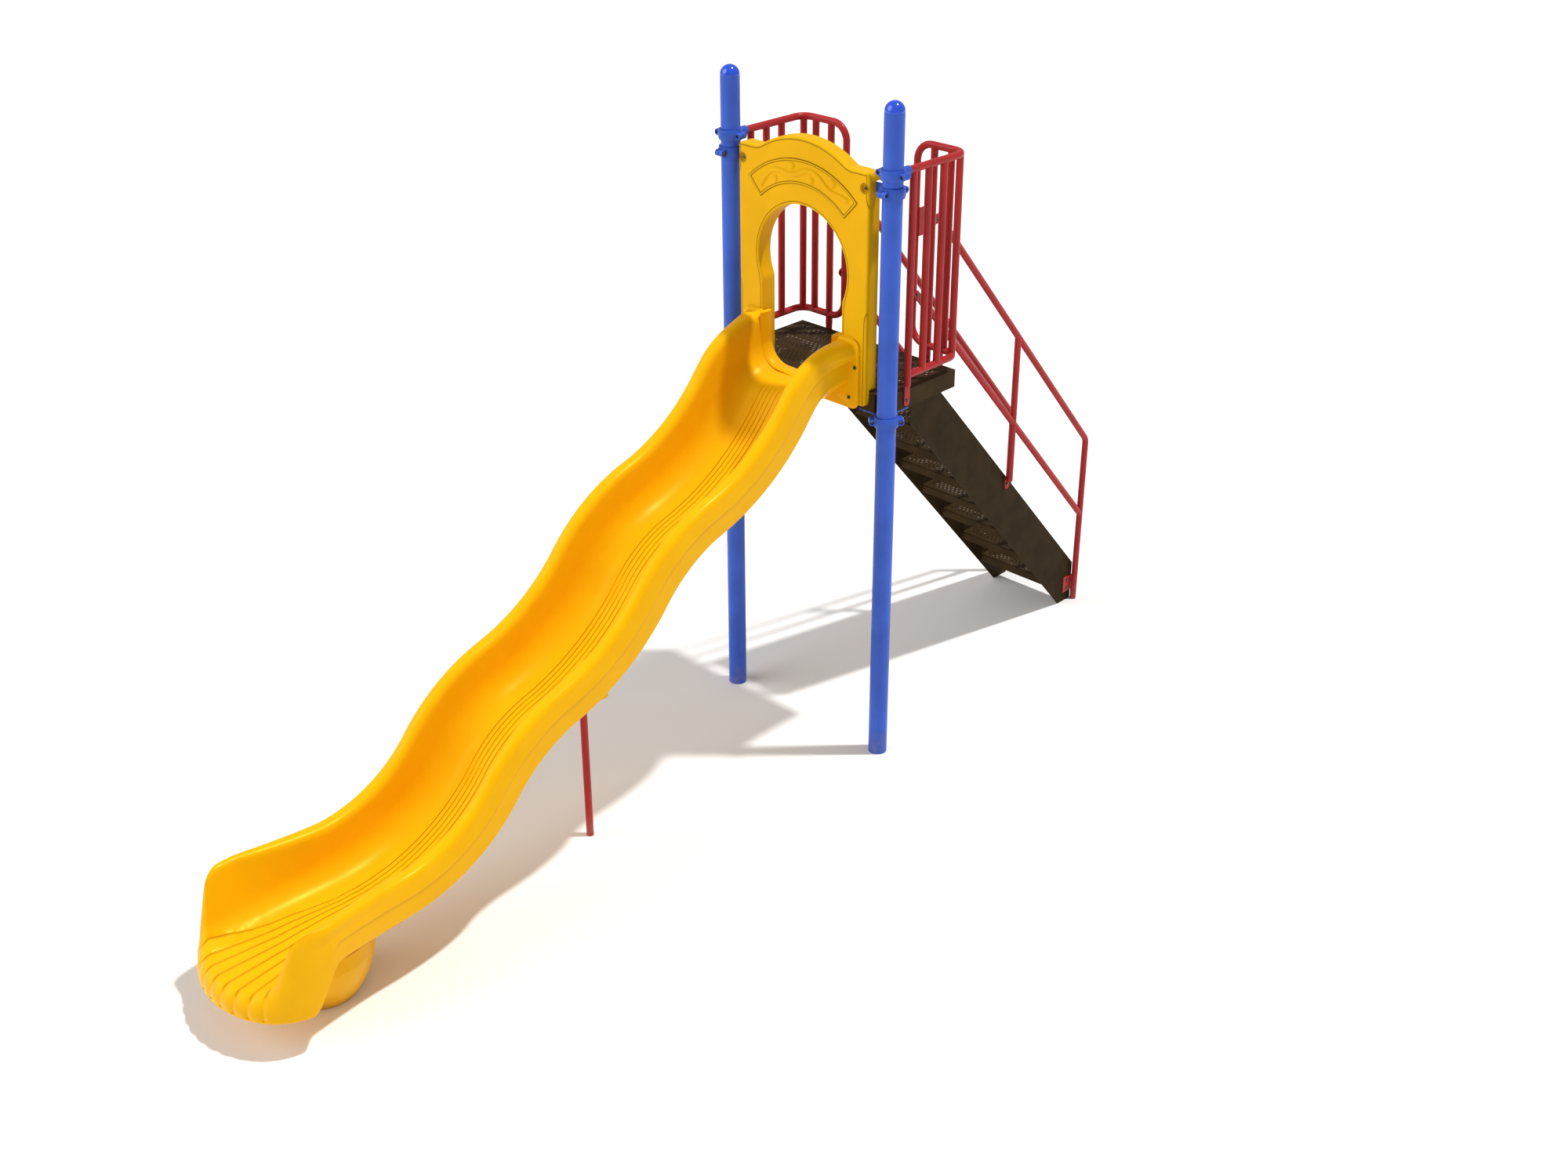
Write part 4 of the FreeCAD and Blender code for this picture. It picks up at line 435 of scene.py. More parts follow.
def chute_body(sizes):
    """Stations of the waves: each half section stands square to the crest line.

    A point at (x, n) lies at Y = y - n sin(slope), Z = z + n cos(slope).
    """
    line = wave_line(sizes, STATION_SPACING)
    start = line[0]
    back = panel_face - SKIN_GAP
    run = start[0] - back
    entry = np.array(ENTRY_STATIONS) / -run
    entry_line = np.stack([back + run * entry, start[1] - run * (1 - entry) * math.tan(sizes.entry_slope),
                           np.full_like(entry, sizes.entry_slope)], axis=-1)
    line = np.concatenate([entry_line, line])
    distance = np.abs(line[:, 0] - back)
    swell = sizes.entry_swell * (1 - smooth_step(0.0, sizes.swell_run, distance))
    eased = np.zeros(len(line))
    points, marks = half_section(sizes, eased, np.full(len(line), sizes.floor_depth), swell)
    crest_top = marks[1][0] + FILLET_POINTS
    points = flange_fillet(points, distance - sizes.flange_thickness, sizes.flange_fillet, crest_top)
    y = line[:, :1] - points[..., 1] * np.sin(line[:, 2:])
    z = line[:, 1:2] + points[..., 1] * np.cos(line[:, 2:])
    return np.stack([points[..., 0], np.minimum(y, back), z], axis=-1), marks, line[-1]


FLARE_POWER = 1.5
SIDE_STATIONS, CORNER_STATIONS, BOW_STATIONS = 34, 50, 44


def exit_outline(sizes, start_y):
    """The exit's right outline from the flare to the front: X, Y and the outward direction's turn from +X.

    A flared side, a corner arc about C and a bowed front about B. The corner arc meets the bow where
    the line from B through C reaches the bow's radius.
    """
    half = sizes.outer_half + sizes.flare_outer
    centre_x = half - sizes.lip_corner
    bow_y = lip_front + sizes.lip_bow
    centre_y = bow_y - math.sqrt((sizes.lip_bow - sizes.lip_corner) ** 2 - centre_x ** 2)
    meet = math.atan2(bow_y - centre_y, centre_x)
    side_y = np.linspace(start_y, centre_y, SIDE_STATIONS)[1:]
    share = np.clip((start_y - side_y) / sizes.flare_length, 0, 1) ** FLARE_POWER
    side = np.stack([sizes.outer_half + sizes.flare_outer * share, side_y, 0 * share], axis=-1)

    def arc(x, y, radius, turn):
        return np.stack([x + radius * np.cos(turn), y - radius * np.sin(turn), turn], axis=-1)

    corner = arc(centre_x, centre_y, sizes.lip_corner, np.linspace(0, meet, CORNER_STATIONS)[1:])
    bow = arc(0, bow_y, sizes.lip_bow, np.linspace(meet, math.pi / 2, BOW_STATIONS)[1:])
    return np.concatenate([side, corner, bow]), centre_y


NOSE_SOFTNESS = 0.01


def exit_body(sizes, last):
    """Stations of the exit: the wall's section goes round the outline and melts into the lip's.

    w is the distance inwards from the outline. Round the corner a point's height comes from its place:
    h(X) is the share of the wall's height there and k(Y) the share that the walls' sloping end leaves, and
    the point stands at h k / (h^p + k^p - h^p k^p)^(1/p) of the height. Its w goes from the wall's to the
    lip's as that share falls at the crest.
    Below the ledge an upright face runs down to the skirt, and past the heel to the lip's underside.
    """
    start_y, start_z = last[0], last[1]
    outline, centre_y = exit_outline(sizes, start_y)
    turn = outline[:, 2]
    reached = np.maximum(outline[:, 1], centre_y)
    flared = np.clip((start_y - reached) / sizes.flare_length, 0, 1)
    eased = flared ** FLARE_POWER
    inward = np.stack([-np.cos(turn), np.sin(turn)], axis=-1)
    crest_w = sizes.outer_half + sizes.flare_outer - sizes.crest_offset - sizes.flare_crest
    crest = start_z - (start_y - outline[:, 1] - inward[:, 1] * crest_w) * math.tan(sizes.flare_slope)
    depth = sizes.floor_depth + (crest - sizes.lip_floor - sizes.floor_depth) * eased
    wall, marks = half_section(sizes, eased, depth, 0 * eased)
    outer = sizes.outer_half + sizes.flare_outer * eased
    wall_w = outer[:, None] - wall[..., 0]
    wall_z = crest[:, None] + wall[..., 1]
    number = np.arange(wall.shape[1])
    floor_end, crest_end, ledge, skirt, base = marks[0][0], marks[2][0], marks[4][1], marks[6], marks[9][1]

    tall = (crest - sizes.lip_floor)[:, None]
    power = sizes.nose_blend

    def risen(x, y):
        """The share of the wall's height that stands at a place on the exit."""
        fallen = np.clip(lip_front + sizes.nose_start - y, 0, None)
        arc = sizes.nose_radius * math.sin(sizes.nose_slope)
        drop = sizes.nose_radius - np.sqrt(sizes.nose_radius ** 2 - np.minimum(fallen, arc) ** 2)
        raw = 1 - (drop + np.clip(fallen - arc, 0, None) * math.tan(sizes.nose_slope)) / tall
        left = (raw + np.sqrt(raw ** 2 + NOSE_SOFTNESS)) / (1 + math.sqrt(1 + NOSE_SOFTNESS))
        left = np.clip(left, 1e-4, 1)
        side = np.interp(x, outer[-1] - wall_w[-1, floor_end:crest_end + 1],
                         (wall_z[-1, floor_end:crest_end + 1] - sizes.lip_floor) / tall[-1, 0])
        return side * left / (side ** power + left ** power - (side * left) ** power) ** (1 / power)

    crest_place = outline[:, None, :2] + inward[:, None, :] * wall_w[:, crest_end, None, None]
    keep = risen(crest_place[..., 0], crest_place[..., 1])
    keep = np.where(turn[:, None] > 0, keep, 1.0)
    inner_w = float(wall_w[-1, floor_end])
    ledge_height = wall_z[:, ledge:ledge + 1]
    rolled = np.clip((number - crest_end) / (ledge - crest_end), 0, 1) * math.pi / 2
    top_w = np.interp(number, [floor_end, crest_end], [inner_w, sizes.lip_round])
    w = mix(keep, wall_w, top_w)
    place = outline[:, None, :2] + inward[:, None, :] * w[..., None]
    z = np.where(turn[:, None] > 0, sizes.lip_floor + tall * risen(place[..., 0], place[..., 1]), wall_z)
    top_w, top_z = w[:, crest_end:crest_end + 1], z[:, crest_end:crest_end + 1]
    keep = np.clip((top_z - sizes.lip_floor) / tall, 0, 1)

    heel = 1 - smooth_step(0, sizes.heel_run, start_y - outline[:, 1:2] - sizes.heel_start)
    bottom = sizes.lip_bottom + sizes.bottom_round
    fall = (crest[:, None] - wall_z) / (crest[:, None] - ledge_height)
    ledge_z = mix(heel, ledge_height, bottom + sizes.bottom_face)
    moved_w = wall_w + (top_w - wall_w[:, crest_end:crest_end + 1])
    rolled_w = mix(heel, moved_w, top_w * (1 - np.sin(rolled)))
    rolled_z = top_z - (top_z - ledge_z) * mix(heel, fall, 1 - np.cos(rolled))
    w = np.where(number > crest_end, rolled_w, w)
    z = np.where(number > crest_end, rolled_z, z)

    ledge_w = w[:, ledge:ledge + 1]
    along = np.clip((number - ledge) / (skirt[0] - ledge), 0, 1)
    tucked = np.clip((number - skirt[0]) / (skirt[1] - skirt[0]), 0, 1) * math.pi / 2
    face_w = ledge_w * (1 - along) + sizes.bottom_round * (1 - np.cos(tucked))
    face_z = ledge_z + (bottom - ledge_z) * along - sizes.bottom_round * np.sin(tucked)
    under_w = np.interp(number, [skirt[1], base], [sizes.bottom_round, inner_w])
    face_w = np.where(number > skirt[1], under_w, face_w)
    low_z = wall_z + (ledge_z - ledge_height) * (1 - along)
    w = np.where(number > ledge, mix(heel, wall_w, face_w), w)
    z = np.where(number > ledge, mix(heel, low_z, face_z), z)

    place = outline[:, None, :2] + inward[:, None, :] * w[..., None]
    front_y = lip_front + inner_w
    middle_y = np.where(turn > 0, centre_y + (front_y - centre_y) * turn / (math.pi / 2), outline[:, 1])
    middle = np.stack([0 * turn, middle_y], axis=-1)[:, None]
    floor_share = (wall[..., 0] / wall[:, floor_end:floor_end + 1, 0])[:, :floor_end + 1, None]
    place[:, :floor_end + 1] = middle + (place[:, floor_end:floor_end + 1] - middle) * floor_share
    base_share = (wall[..., 0] / wall[:, base:base + 1, 0])[:, base:, None]
    place[:, base:] = middle + (place[:, base:base + 1] - middle) * base_share
    tilt = sizes.runout_slope * (1 - flared)
    grid = np.concatenate([place, z[..., None]], axis=-1)
    grid[..., 1] -= wall[..., 1] * np.sin(tilt)[:, None]
    return grid, keep


# The grooves' outer edge in pitches, where they start before the posts, and the powers of their shape.
RIBBED = (3.6, 4.0)
GROOVE_START = (0.12, 0.35)
FAN_POWER = 1.04
GROOVE_POWER, RIB_POWER = 2.2, 1.3


def fluted(grid, sizes, open_floor):
    """Presses the floor's grooves into the grid; towards the lip they fan out into rounded ribs.

    With c = X / spread, the depth is d (1 - |cos(pi c / pitch)|)^p. The spread and d grow and p falls
    from the trough to the lip.
    """
    x, y = grid[..., 0], grid[..., 1]
    forward = np.clip((lip_front + sizes.fan_length - y) / sizes.fan_length, 0, 1)
    fan = smooth_step(0.0, 1.0, forward)
    c = x / (1 + (sizes.rib_spread - 1) * forward ** FAN_POWER)
    valley = 1 - np.abs(np.cos(math.pi * c / sizes.groove_pitch))
    depth = sizes.groove_depth + (sizes.rib_depth - sizes.groove_depth) * fan
    edge = 1 - smooth_step(RIBBED[0] * sizes.groove_pitch, RIBBED[1] * sizes.groove_pitch, np.abs(c))
    fade = smooth_step(*GROOVE_START, post_line - y)
    press = depth * valley ** (GROOVE_POWER + (RIB_POWER - GROOVE_POWER) * fan) * edge * fade * open_floor
    return grid - grid_normals(grid) * press[..., None]


def chute_grid(sizes):
    """The right half of the chute, from the flange to the middle of the lip's front.

    The grooves lie on the floor up to its round corner, and past the walls' ends down to the skirt's foot.
    """
    body, marks, last = chute_body(sizes)
    end, keep = exit_body(sizes, last)
    grid = np.concatenate([body, end])
    number = np.arange(grid.shape[1])
    keep = np.concatenate([np.ones((len(body), 1)), keep])
    floor = number <= marks[0][0] + ARC_STEPS // 2
    front = 1 - smooth_step(marks[6][0] - 2, marks[6][0] + 2, number)
    grid = fluted(grid, sizes, np.where(floor, 1, (1 - smooth_step(0.0, 0.5, keep)) * front))
    grid[:, [0, -1], 0] = 0
    grid[-1, :, 0] = 0
    return grid


def lug_grid(sizes, side):
    """A wedge under the skirt beside the middle leg: four corners at each of its two ends in X.

    A corner stands at a depth below the crest line, square to it, where that offset line reaches its Y.
    """
    line = wave_line(sizes, STATION_SPACING / 4)
    high_y = leg_line - sizes.lug_reach
    low_y = high_y - sizes.lug_length
    corners = []
    inside = sizes.skirt_depth - sizes.lug_overlap
    for y, depth in ((high_y, inside), (high_y, sizes.skirt_depth + sizes.lug_depth),
                     (low_y, sizes.skirt_depth), (low_y, inside)):
        offset_y = line[:, 0] + depth * np.sin(line[:, 2])
        offset_z = line[:, 1] - depth * np.cos(line[:, 2])
        corners.append((y, float(np.interp(-y, -offset_y, offset_z))))
    outer = sizes.outer_half - sizes.ledge_step - sizes.lug_inset
    return np.array([[(side * x, y, z) for y, z in corners] for x in (outer - sizes.lug_width, outer)])


def ring_grid(inner, outer, profile):
    """A band between two open outlines of matching points.

    Each profile entry is (edge, inset, Y): the point lies at the inset from the inner or outer outline,
    towards the other one. The profile closes on itself.
    """
    across = unit(outer - inner)
    rows = []
    for edge, inset, y in profile:
        base = inner + across * inset if edge == "inner" else outer - across * inset
        rows.append(np.stack([base[:, 0], np.full(len(base), y), base[:, 1]], axis=-1))
    return np.stack(rows, axis=1)


# The plate's rounded rim, and the width of the plate that the chute's skin covers.
FLANGE_RIM, FLANGE_COVER = 0.003, 0.03


def flange_grid(sizes):
    """The flange on the panel with the rolled lip of the passage: a round-cornered plate round a U."""
    top, bottom, half = sizes.flange_top, sizes.flange_bottom, sizes.flange_half
    inner = np.array([[sizes.entry_half, top], [sizes.entry_half, sizes.entry_floor], [0, sizes.entry_floor]])
    inner, _ = rounded(inner, [sizes.entry_corner], arc_steps=20, run_steps=[12, 8])
    outer = np.array([[sizes.entry_half + FLANGE_COVER, top], [half, top], [half, bottom], [0, bottom]])
    outer, _ = rounded(outer, [sizes.flange_corner] * 2, arc_steps=8, run_steps=[2, 13, 10])
    spread = np.linspace(0, 1, len(inner))
    place = np.linspace(0, 1, len(outer))
    outer = np.stack([np.interp(spread, place, outer[:, 0]), np.interp(spread, place, outer[:, 1])], -1)
    front = panel_face - FLANGE_GAP - sizes.flange_thickness
    back = panel_face - FLANGE_GAP
    end = deck_low[1] - FLANGE_GAP
    wall = sizes.entry_wall
    profile = [
        # The plate's rounded rim and its face.
        ("outer", FLANGE_RIM, back), ("outer", 0, back - FLANGE_RIM), ("outer", 0, front + FLANGE_RIM),
        ("outer", 0.001, front + 0.001), ("outer", FLANGE_RIM, front), ("inner", FLANGE_COVER, front),
        # The swelling that the chute's skin covers.
        ("inner", 0.012, front - 0.026), ("inner", 0.006, front - 0.018), ("inner", 0.002, front - 0.008),
        # The passage through the panel and its rolled end at the deck.
        ("inner", 0, front + 0.004), ("inner", 0, end - 0.009), ("inner", 0.0025, end - 0.003),
        ("inner", 0.009, end), ("inner", wall - 0.006, end), ("inner", wall, end - 0.006),
        ("inner", wall, back)]
    right = ring_grid(inner, outer, profile)
    left = right[::-1][1:] * MIRROR
    return np.concatenate([right, left])


# ---------------- panel relief
# The sheet's steps along and across, the swing of the wave and of the studs as shares of the relief's width,
# and the shares of the arc between which the wave dies away.
BAND_STEPS = (420, 44)
WAVE_SWING, STUD_SWING = 0.2, 0.27
WAVE_ENDS = (0.93, 0.985)
# How far the sheet's flat parts and its back lie inside the panel.
BAND_SINK, BAND_BACK = 0.0002, 0.001


def banner_grid(sizes):
    """A wave with a round stud in each hollow, in relief along the band.

    Across the band r runs about the middle radius and along it the angle a. The wave's middle is at
    r = swing sin(waves pi a / arc), and its height is that of a half round. A stud is a low dome. The sheet
    is closed behind.
    """
    angle = np.linspace(-sizes.half_angle, sizes.half_angle, BAND_STEPS[0])[:, None]
    r = np.linspace(-0.5, 0.5, BAND_STEPS[1])[None, :] * sizes.reach
    turning = sizes.waves * math.pi / sizes.half_angle / 2
    phase = turning * angle
    swing = WAVE_SWING * sizes.reach
    lean = swing * np.cos(phase) * turning / sizes.middle
    gap = np.abs(r - swing * np.sin(phase)) / np.sqrt(1 + lean ** 2)
    ends = 1 - smooth_step(*WAVE_ENDS, np.abs(angle / sizes.half_angle))
    ridge = np.sqrt(np.clip(1 - (gap / sizes.ridge) ** 2, 0, 1)) * ends
    turns = phase / math.pi - 0.5
    nearest = np.round(turns)
    along = (turns - nearest) * sizes.half_angle * 2 / sizes.waves * sizes.middle
    side = np.where(np.mod(nearest, 2) == 0, -1, 1)
    away = np.hypot(along, r - side * STUD_SWING * sizes.reach)
    inside = np.abs(nearest * 2 / sizes.waves + 1 / sizes.waves) < 1
    stud = np.sqrt(np.clip(1 - (away / sizes.stud) ** 2, 0, 1)) * inside
    height = np.maximum(ridge, stud) * sizes.height
    field = panel_low[1] + band_rise / 2
    reach = sizes.middle + r
    front = np.stack([reach * np.sin(angle), field + BAND_SINK - height,
                      sizes.centre + reach * np.cos(angle)], axis=-1)
    back = front.copy()
    back[..., 1] = field + BAND_BACK
    return [np.concatenate([front, back[:, ::-1]], axis=1)]


# ---------------- shader arithmetic
def sum_of(operation, swapped=False):
    """A method that makes the Math node of an operation on this value and at most one other."""
    def method(self, other=None):
        parts = [self] if other is None else [other, self] if swapped else [self, other]
        return self.math(operation, *parts)
    return method


class Value:
    """A shader socket that can be used in sums; every operation adds its Math node."""

    def __init__(self, recipe, socket):
        self.recipe = recipe
        self.socket = socket

    def math(self, operation, *parts):
        return self.recipe.node("ShaderNodeMath", {"operation": operation}, dict(enumerate(parts)))

    __add__, __radd__ = sum_of("ADD"), sum_of("ADD", True)
    __sub__, __rsub__ = sum_of("SUBTRACT"), sum_of("SUBTRACT", True)
    __mul__, __truediv__, __pow__ = sum_of("MULTIPLY"), sum_of("DIVIDE"), sum_of("POWER")
    __mod__, least, most = sum_of("MODULO"), sum_of("MINIMUM"), sum_of("MAXIMUM")
    __abs__, root, floor, cosine = sum_of("ABSOLUTE"), sum_of("SQRT"), sum_of("FLOOR"), sum_of("COSINE")

    def step(self, low, high):
        """0 below low and 1 above high, smooth between; low may be above high."""
        return self.recipe.node("ShaderNodeMapRange", {"interpolation_type": "SMOOTHSTEP"},
                                {"Value": self, "From Min": low, "From Max": high})


class Recipe:
    """A material in the making: its nodes, its object coordinates and its surface shader."""

    def __init__(self, name):
        self.material = bpy.data.materials.new(name)
        self.material.use_nodes = True
        self.tree = self.material.node_tree
        self.tree.nodes.clear()
        self.place = self.node("ShaderNodeTexCoord", output="Object")
        split = self.node("ShaderNodeSeparateXYZ", {}, {0: self.place}).socket.node
        self.x, self.y, self.z = (Value(self, split.outputs[axis]) for axis in "XYZ")

    def node(self, kind, choices=None, sockets=None, output=0):
        """A node with its menu choices; its sockets take a value or are joined to a Value."""
        made = self.tree.nodes.new(kind)
        for name, value in (choices or {}).items():
            setattr(made, name, value)
        for key, value in (sockets or {}).items():
            if isinstance(value, Value):
                self.tree.links.new(value.socket, made.inputs[key])
            else:
                made.inputs[key].default_value = value
        return Value(self, made.outputs[output])

    def noise(self, scale, detail=3.0, roughness=0.55, stretch=None):
        place = self.place
        if stretch:
            place = self.node("ShaderNodeMapping", {}, {"Vector": place, "Scale": stretch})
        return self.node("ShaderNodeTexNoise", {}, {"Vector": place, "Scale": scale, "Detail": detail,
                                                    "Roughness": roughness})

    def cells(self, scale):
        return self.node("ShaderNodeTexVoronoi", {}, {"Vector": self.place, "Scale": scale})

    def facing_up(self, low=0.8, high=0.95):
        """1 on level faces seen from above, 0 on walls and undersides."""
        normal = self.node("ShaderNodeNewGeometry", {}, {}, "Normal")
        split = self.node("ShaderNodeSeparateXYZ", {}, {0: normal}, "Z")
        return split.step(low, high)

    def blend(self, factor, first, second):
        """A colour between two, by the factor."""
        def full(tone):
            return tone if isinstance(tone, Value) else (*tone, 1)
        tones = {0: factor, 6: full(first), 7: full(second)}
        return self.node("ShaderNodeMix", {"data_type": "RGBA"}, tones, 2)

    def clouded(self, tone, dark, light, scale, detail=3.0, low=0.3):
        """The tone, darkened and lightened in soft clouds."""
        return self.blend(self.noise(scale, detail).step(low, 0.7), shade(tone, dark), shade(tone, light))

    def bump(self, height, strength, distance, over=None):
        """A normal that follows the height; over is the normal it adds to."""
        sockets = {"Height": height, "Strength": strength, "Distance": distance}
        return self.node("ShaderNodeBump", {}, {**sockets, "Normal": over} if over else sockets)

    def surface(self, base, roughness, normal, specular=0.5, tint=(1, 1, 1), **others):
        sockets = {"Base Color": base, "Roughness": roughness, "Normal": normal, **others}
        shine = {"Specular IOR Level": specular, "Specular Tint": (*tint, 1)}
        shader = self.node("ShaderNodeBsdfPrincipled", {}, {**sockets, **shine})
        end = self.tree.nodes.new("ShaderNodeOutputMaterial")
        self.tree.links.new(shader.socket, end.inputs["Surface"])
        return self.material


def shade(tone, factor):
    return tuple(min(1.0, part * factor) for part in tone)


# ---------------- finishes
def powder_coat(name, tone, gloss=0.3, foot_dust=True):
    """Baked powder on steel: fine orange peel, faint clouding, rubbed streaks and dust near the ground."""
    recipe = Recipe(name)
    base = recipe.clouded(tone, 0.9, 1.08, 5.0, 2.0)
    rubbed = recipe.noise(38.0, 4.0, 0.65, (1, 1, 0.25)).step(0.58, 0.72)
    base = recipe.blend(rubbed * 0.14, base, shade(tone, 1.5))
    specks = 1 - recipe.cells(120.0).step(0.035, 0.07)
    chips = specks * recipe.noise(9.0, 2.0).step(0.6, 0.66)
    base = recipe.blend(chips * 0.5, base, shade(tone, 0.35))
    if foot_dust:
        dust = recipe.z.step(0.16, 0.0) * recipe.noise(22.0, 4.0).step(0.25, 0.75)
        base = recipe.blend(dust * 0.35, base, (0.33, 0.28, 0.22))
    peel = recipe.noise(420.0, 2.0, 0.5)
    roughness = gloss + rubbed * 0.12 + recipe.noise(60.0, 3.0) * 0.1
    normal = recipe.bump(peel - chips * 0.8, 0.16, 0.0006)
    return recipe.surface(base, roughness, normal, 0.2)


def cap_gloss(name, tone):
    """Glossy moulded plastic, with fine rings of handling marks."""
    recipe = Recipe(name)
    base = recipe.clouded(tone, 0.88, 1.1, 12.0, low=0.35)
    rings = recipe.noise(40.0, 3.0, 0.6, (0.4, 0.4, 6)).step(0.55, 0.75)
    normal = recipe.bump(recipe.noise(300.0, 2.0), 0.06, 0.0004)
    return recipe.surface(base, 0.16 + rings * 0.1, normal, **{"Coat Weight": 0.5, "Coat Roughness": 0.05})


# The creases' painted shade: its outer edge in pitches, and where it starts before the posts.
CREASED = (3.8, 3.6)
CREASE_START = (0.14, 0.3)


def chute_plastic(name, bright, deep, sizes):
    """Rotationally moulded plastic: a slight mottle, long rubbed streaks down the trough and a fine grain.

    The creases between the floor's ribs lie where |cos(pi c / pitch)| is near 0, with c as in the mesh; they
    are painted darker there as painted shade.
    """
    recipe = Recipe(name)
    mottle = recipe.noise(7.0, 4.0, 0.6).step(0.3, 0.72)
    base = recipe.blend(mottle * 0.35, bright, deep)
    trough = abs(recipe.x).step(0.2, 0.08)
    streaks = recipe.noise(70.0, 5.0, 0.7, (1, 0.035, 0.035)).step(0.56, 0.78) * trough
    base = recipe.blend(streaks * 0.2, base, shade(deep, 0.9))
    scuffs = recipe.noise(26.0, 6.0, 0.75, (1, 0.12, 0.12)).step(0.62, 0.8)
    base = recipe.blend(scuffs * 0.1, base, (1.0, 0.64, 0.05))
    grime = recipe.z.step(0.12, 0.0) * recipe.noise(30.0, 4.0).step(0.3, 0.8)
    base = recipe.blend(grime * 0.3, base, (0.3, 0.2, 0.09))
    forward = ((lip_front + sizes.fan_length - recipe.y) / sizes.fan_length).most(0.0).least(1.0)
    c = abs(recipe.x / (forward ** FAN_POWER * (sizes.rib_spread - 1) + 1))
    ridge = abs((c * (math.pi / sizes.groove_pitch)).cosine())
    inside = c.step(CREASED[0] * sizes.groove_pitch, CREASED[1] * sizes.groove_pitch)
    inside = inside * recipe.facing_up(0.45, 0.75)
    inside = inside * recipe.y.step(post_line - CREASE_START[0], post_line - CREASE_START[1])
    # The creases are painted darker on faces that look up: painted shade in the grooves.
    crease = ridge.step(0.34, 0.0) * inside
    base = recipe.blend(crease * 0.42, base, shade(deep, 0.5))
    roughness = 0.3 + mottle * 0.05 + streaks * 0.16 + scuffs * 0.12
    grain = recipe.noise(520.0, 2.0, 0.5)
    sink = recipe.noise(3.5, 1.0, 0.4)
    under = recipe.bump(sink, 0.12, 0.004, recipe.bump(1 - crease, 1.0, 0.004))
    normal = recipe.bump(grain, 0.1, 0.0005, under)
    return recipe.surface(base, roughness, normal, 0.24, (1.0, 0.85, 0.15))


# Half widths of the lines round the opening, the bolts' recesses and the band, and where the first one ends.
ARCH_LINE, CUP_LINE, BAND_LINE = 0.0026, 0.0045, 0.0024
ARCH_LINE_END = 0.24


def panel_plastic(name, tone, sizes, band):
    """Moulded plastic with a fine leathery grain and the engraved lines of the entrance panel.

    The outline's inset is the greater of the insets of a rectangle and a crown circle, the opening's
    offset is the lesser of those of a round head and a straight neck. A line lies where either
    reaches its groove's distance. The lines are painted dark, as painted shade in the engraved grooves.
    """
    recipe = Recipe(name)
    x, z = abs(recipe.x), recipe.z

    def away(across, height):
        dx, dz = x - across, z - (deck_top + height)
        return (dx * dx + dz * dz).root()

    def line(distance, at, width=sizes.groove_width):
        return 1 - abs(distance - at).step(width * 0.35, width)

    block = (float(panel_high[0]) - x).least(deck_top + sizes.shoulder - z)
    crown = sizes.crown_radius - away(0, sizes.crown_height)
    inset = block.math("SMOOTH_MAX", block, crown, sizes.corner_blend)
    head = away(0, sizes.arch_height) - sizes.arch_radius
    neck = (x - sizes.neck_half).most(z - (deck_top + sizes.neck_top))
    offset = head.math("SMOOTH_MIN", head, neck, sizes.corner_blend)
    cup = away(sizes.bolt_x, sizes.bolt_height)
    past_cup = cup.step(sizes.cup_radius + CUP_LINE / 3, sizes.cup_radius + CUP_LINE)
    outer_line = line(inset, sizes.groove_inset) * past_cup
    above_flange = z.step(deck_top + ARCH_LINE_END, deck_top + ARCH_LINE_END + 0.01)
    arch_line = line(offset, sizes.arch_groove, ARCH_LINE) * above_flange
    cup_line = line(cup, sizes.cup_radius, CUP_LINE)
    rise = z - band.centre
    edge_r = abs((x * x + rise * rise).root() - band.middle)
    edge_s = (x.math("ARCTAN2", x, rise) - band.edge_angle) * band.middle + band.edge_reach
    edge = edge_r.math("SMOOTH_MAX", edge_r, edge_s, 0.01)
    band_line = line(edge, band.edge_reach, BAND_LINE)
    band_line = band_line.most(line(edge, band.edge_reach - band.border, BAND_LINE))
    front = recipe.y.step(float(panel_face) + 0.012, float(panel_face) + 0.006)
    lines = outer_line.most(arch_line).most(cup_line).most(band_line) * front
    base = recipe.clouded(tone, 0.95, 1.04, 4.0)
    rubs = recipe.noise(30.0, 5.0, 0.7, (1, 1, 0.3)).step(0.6, 0.78)
    base = recipe.blend(rubs * 0.1, base, (0.95, 0.62, 0.12))
    # The lines are painted dark: painted shade in the engraved grooves and round the bolts' recesses.
    base = recipe.blend(lines * 0.72, base, shade(tone, 0.22))
    grain = recipe.cells(330.0)
    height = grain * 0.35 + recipe.noise(260.0, 3.0) * 0.65
    normal = recipe.bump(height, 0.3, 0.0006, recipe.bump(1 - lines, 0.9, 0.0022))
    roughness = 0.42 + recipe.noise(14.0, 3.0) * 0.1 + rubs * 0.08
    return recipe.surface(base, roughness, normal, 0.15, (1.0, 0.85, 0.2))


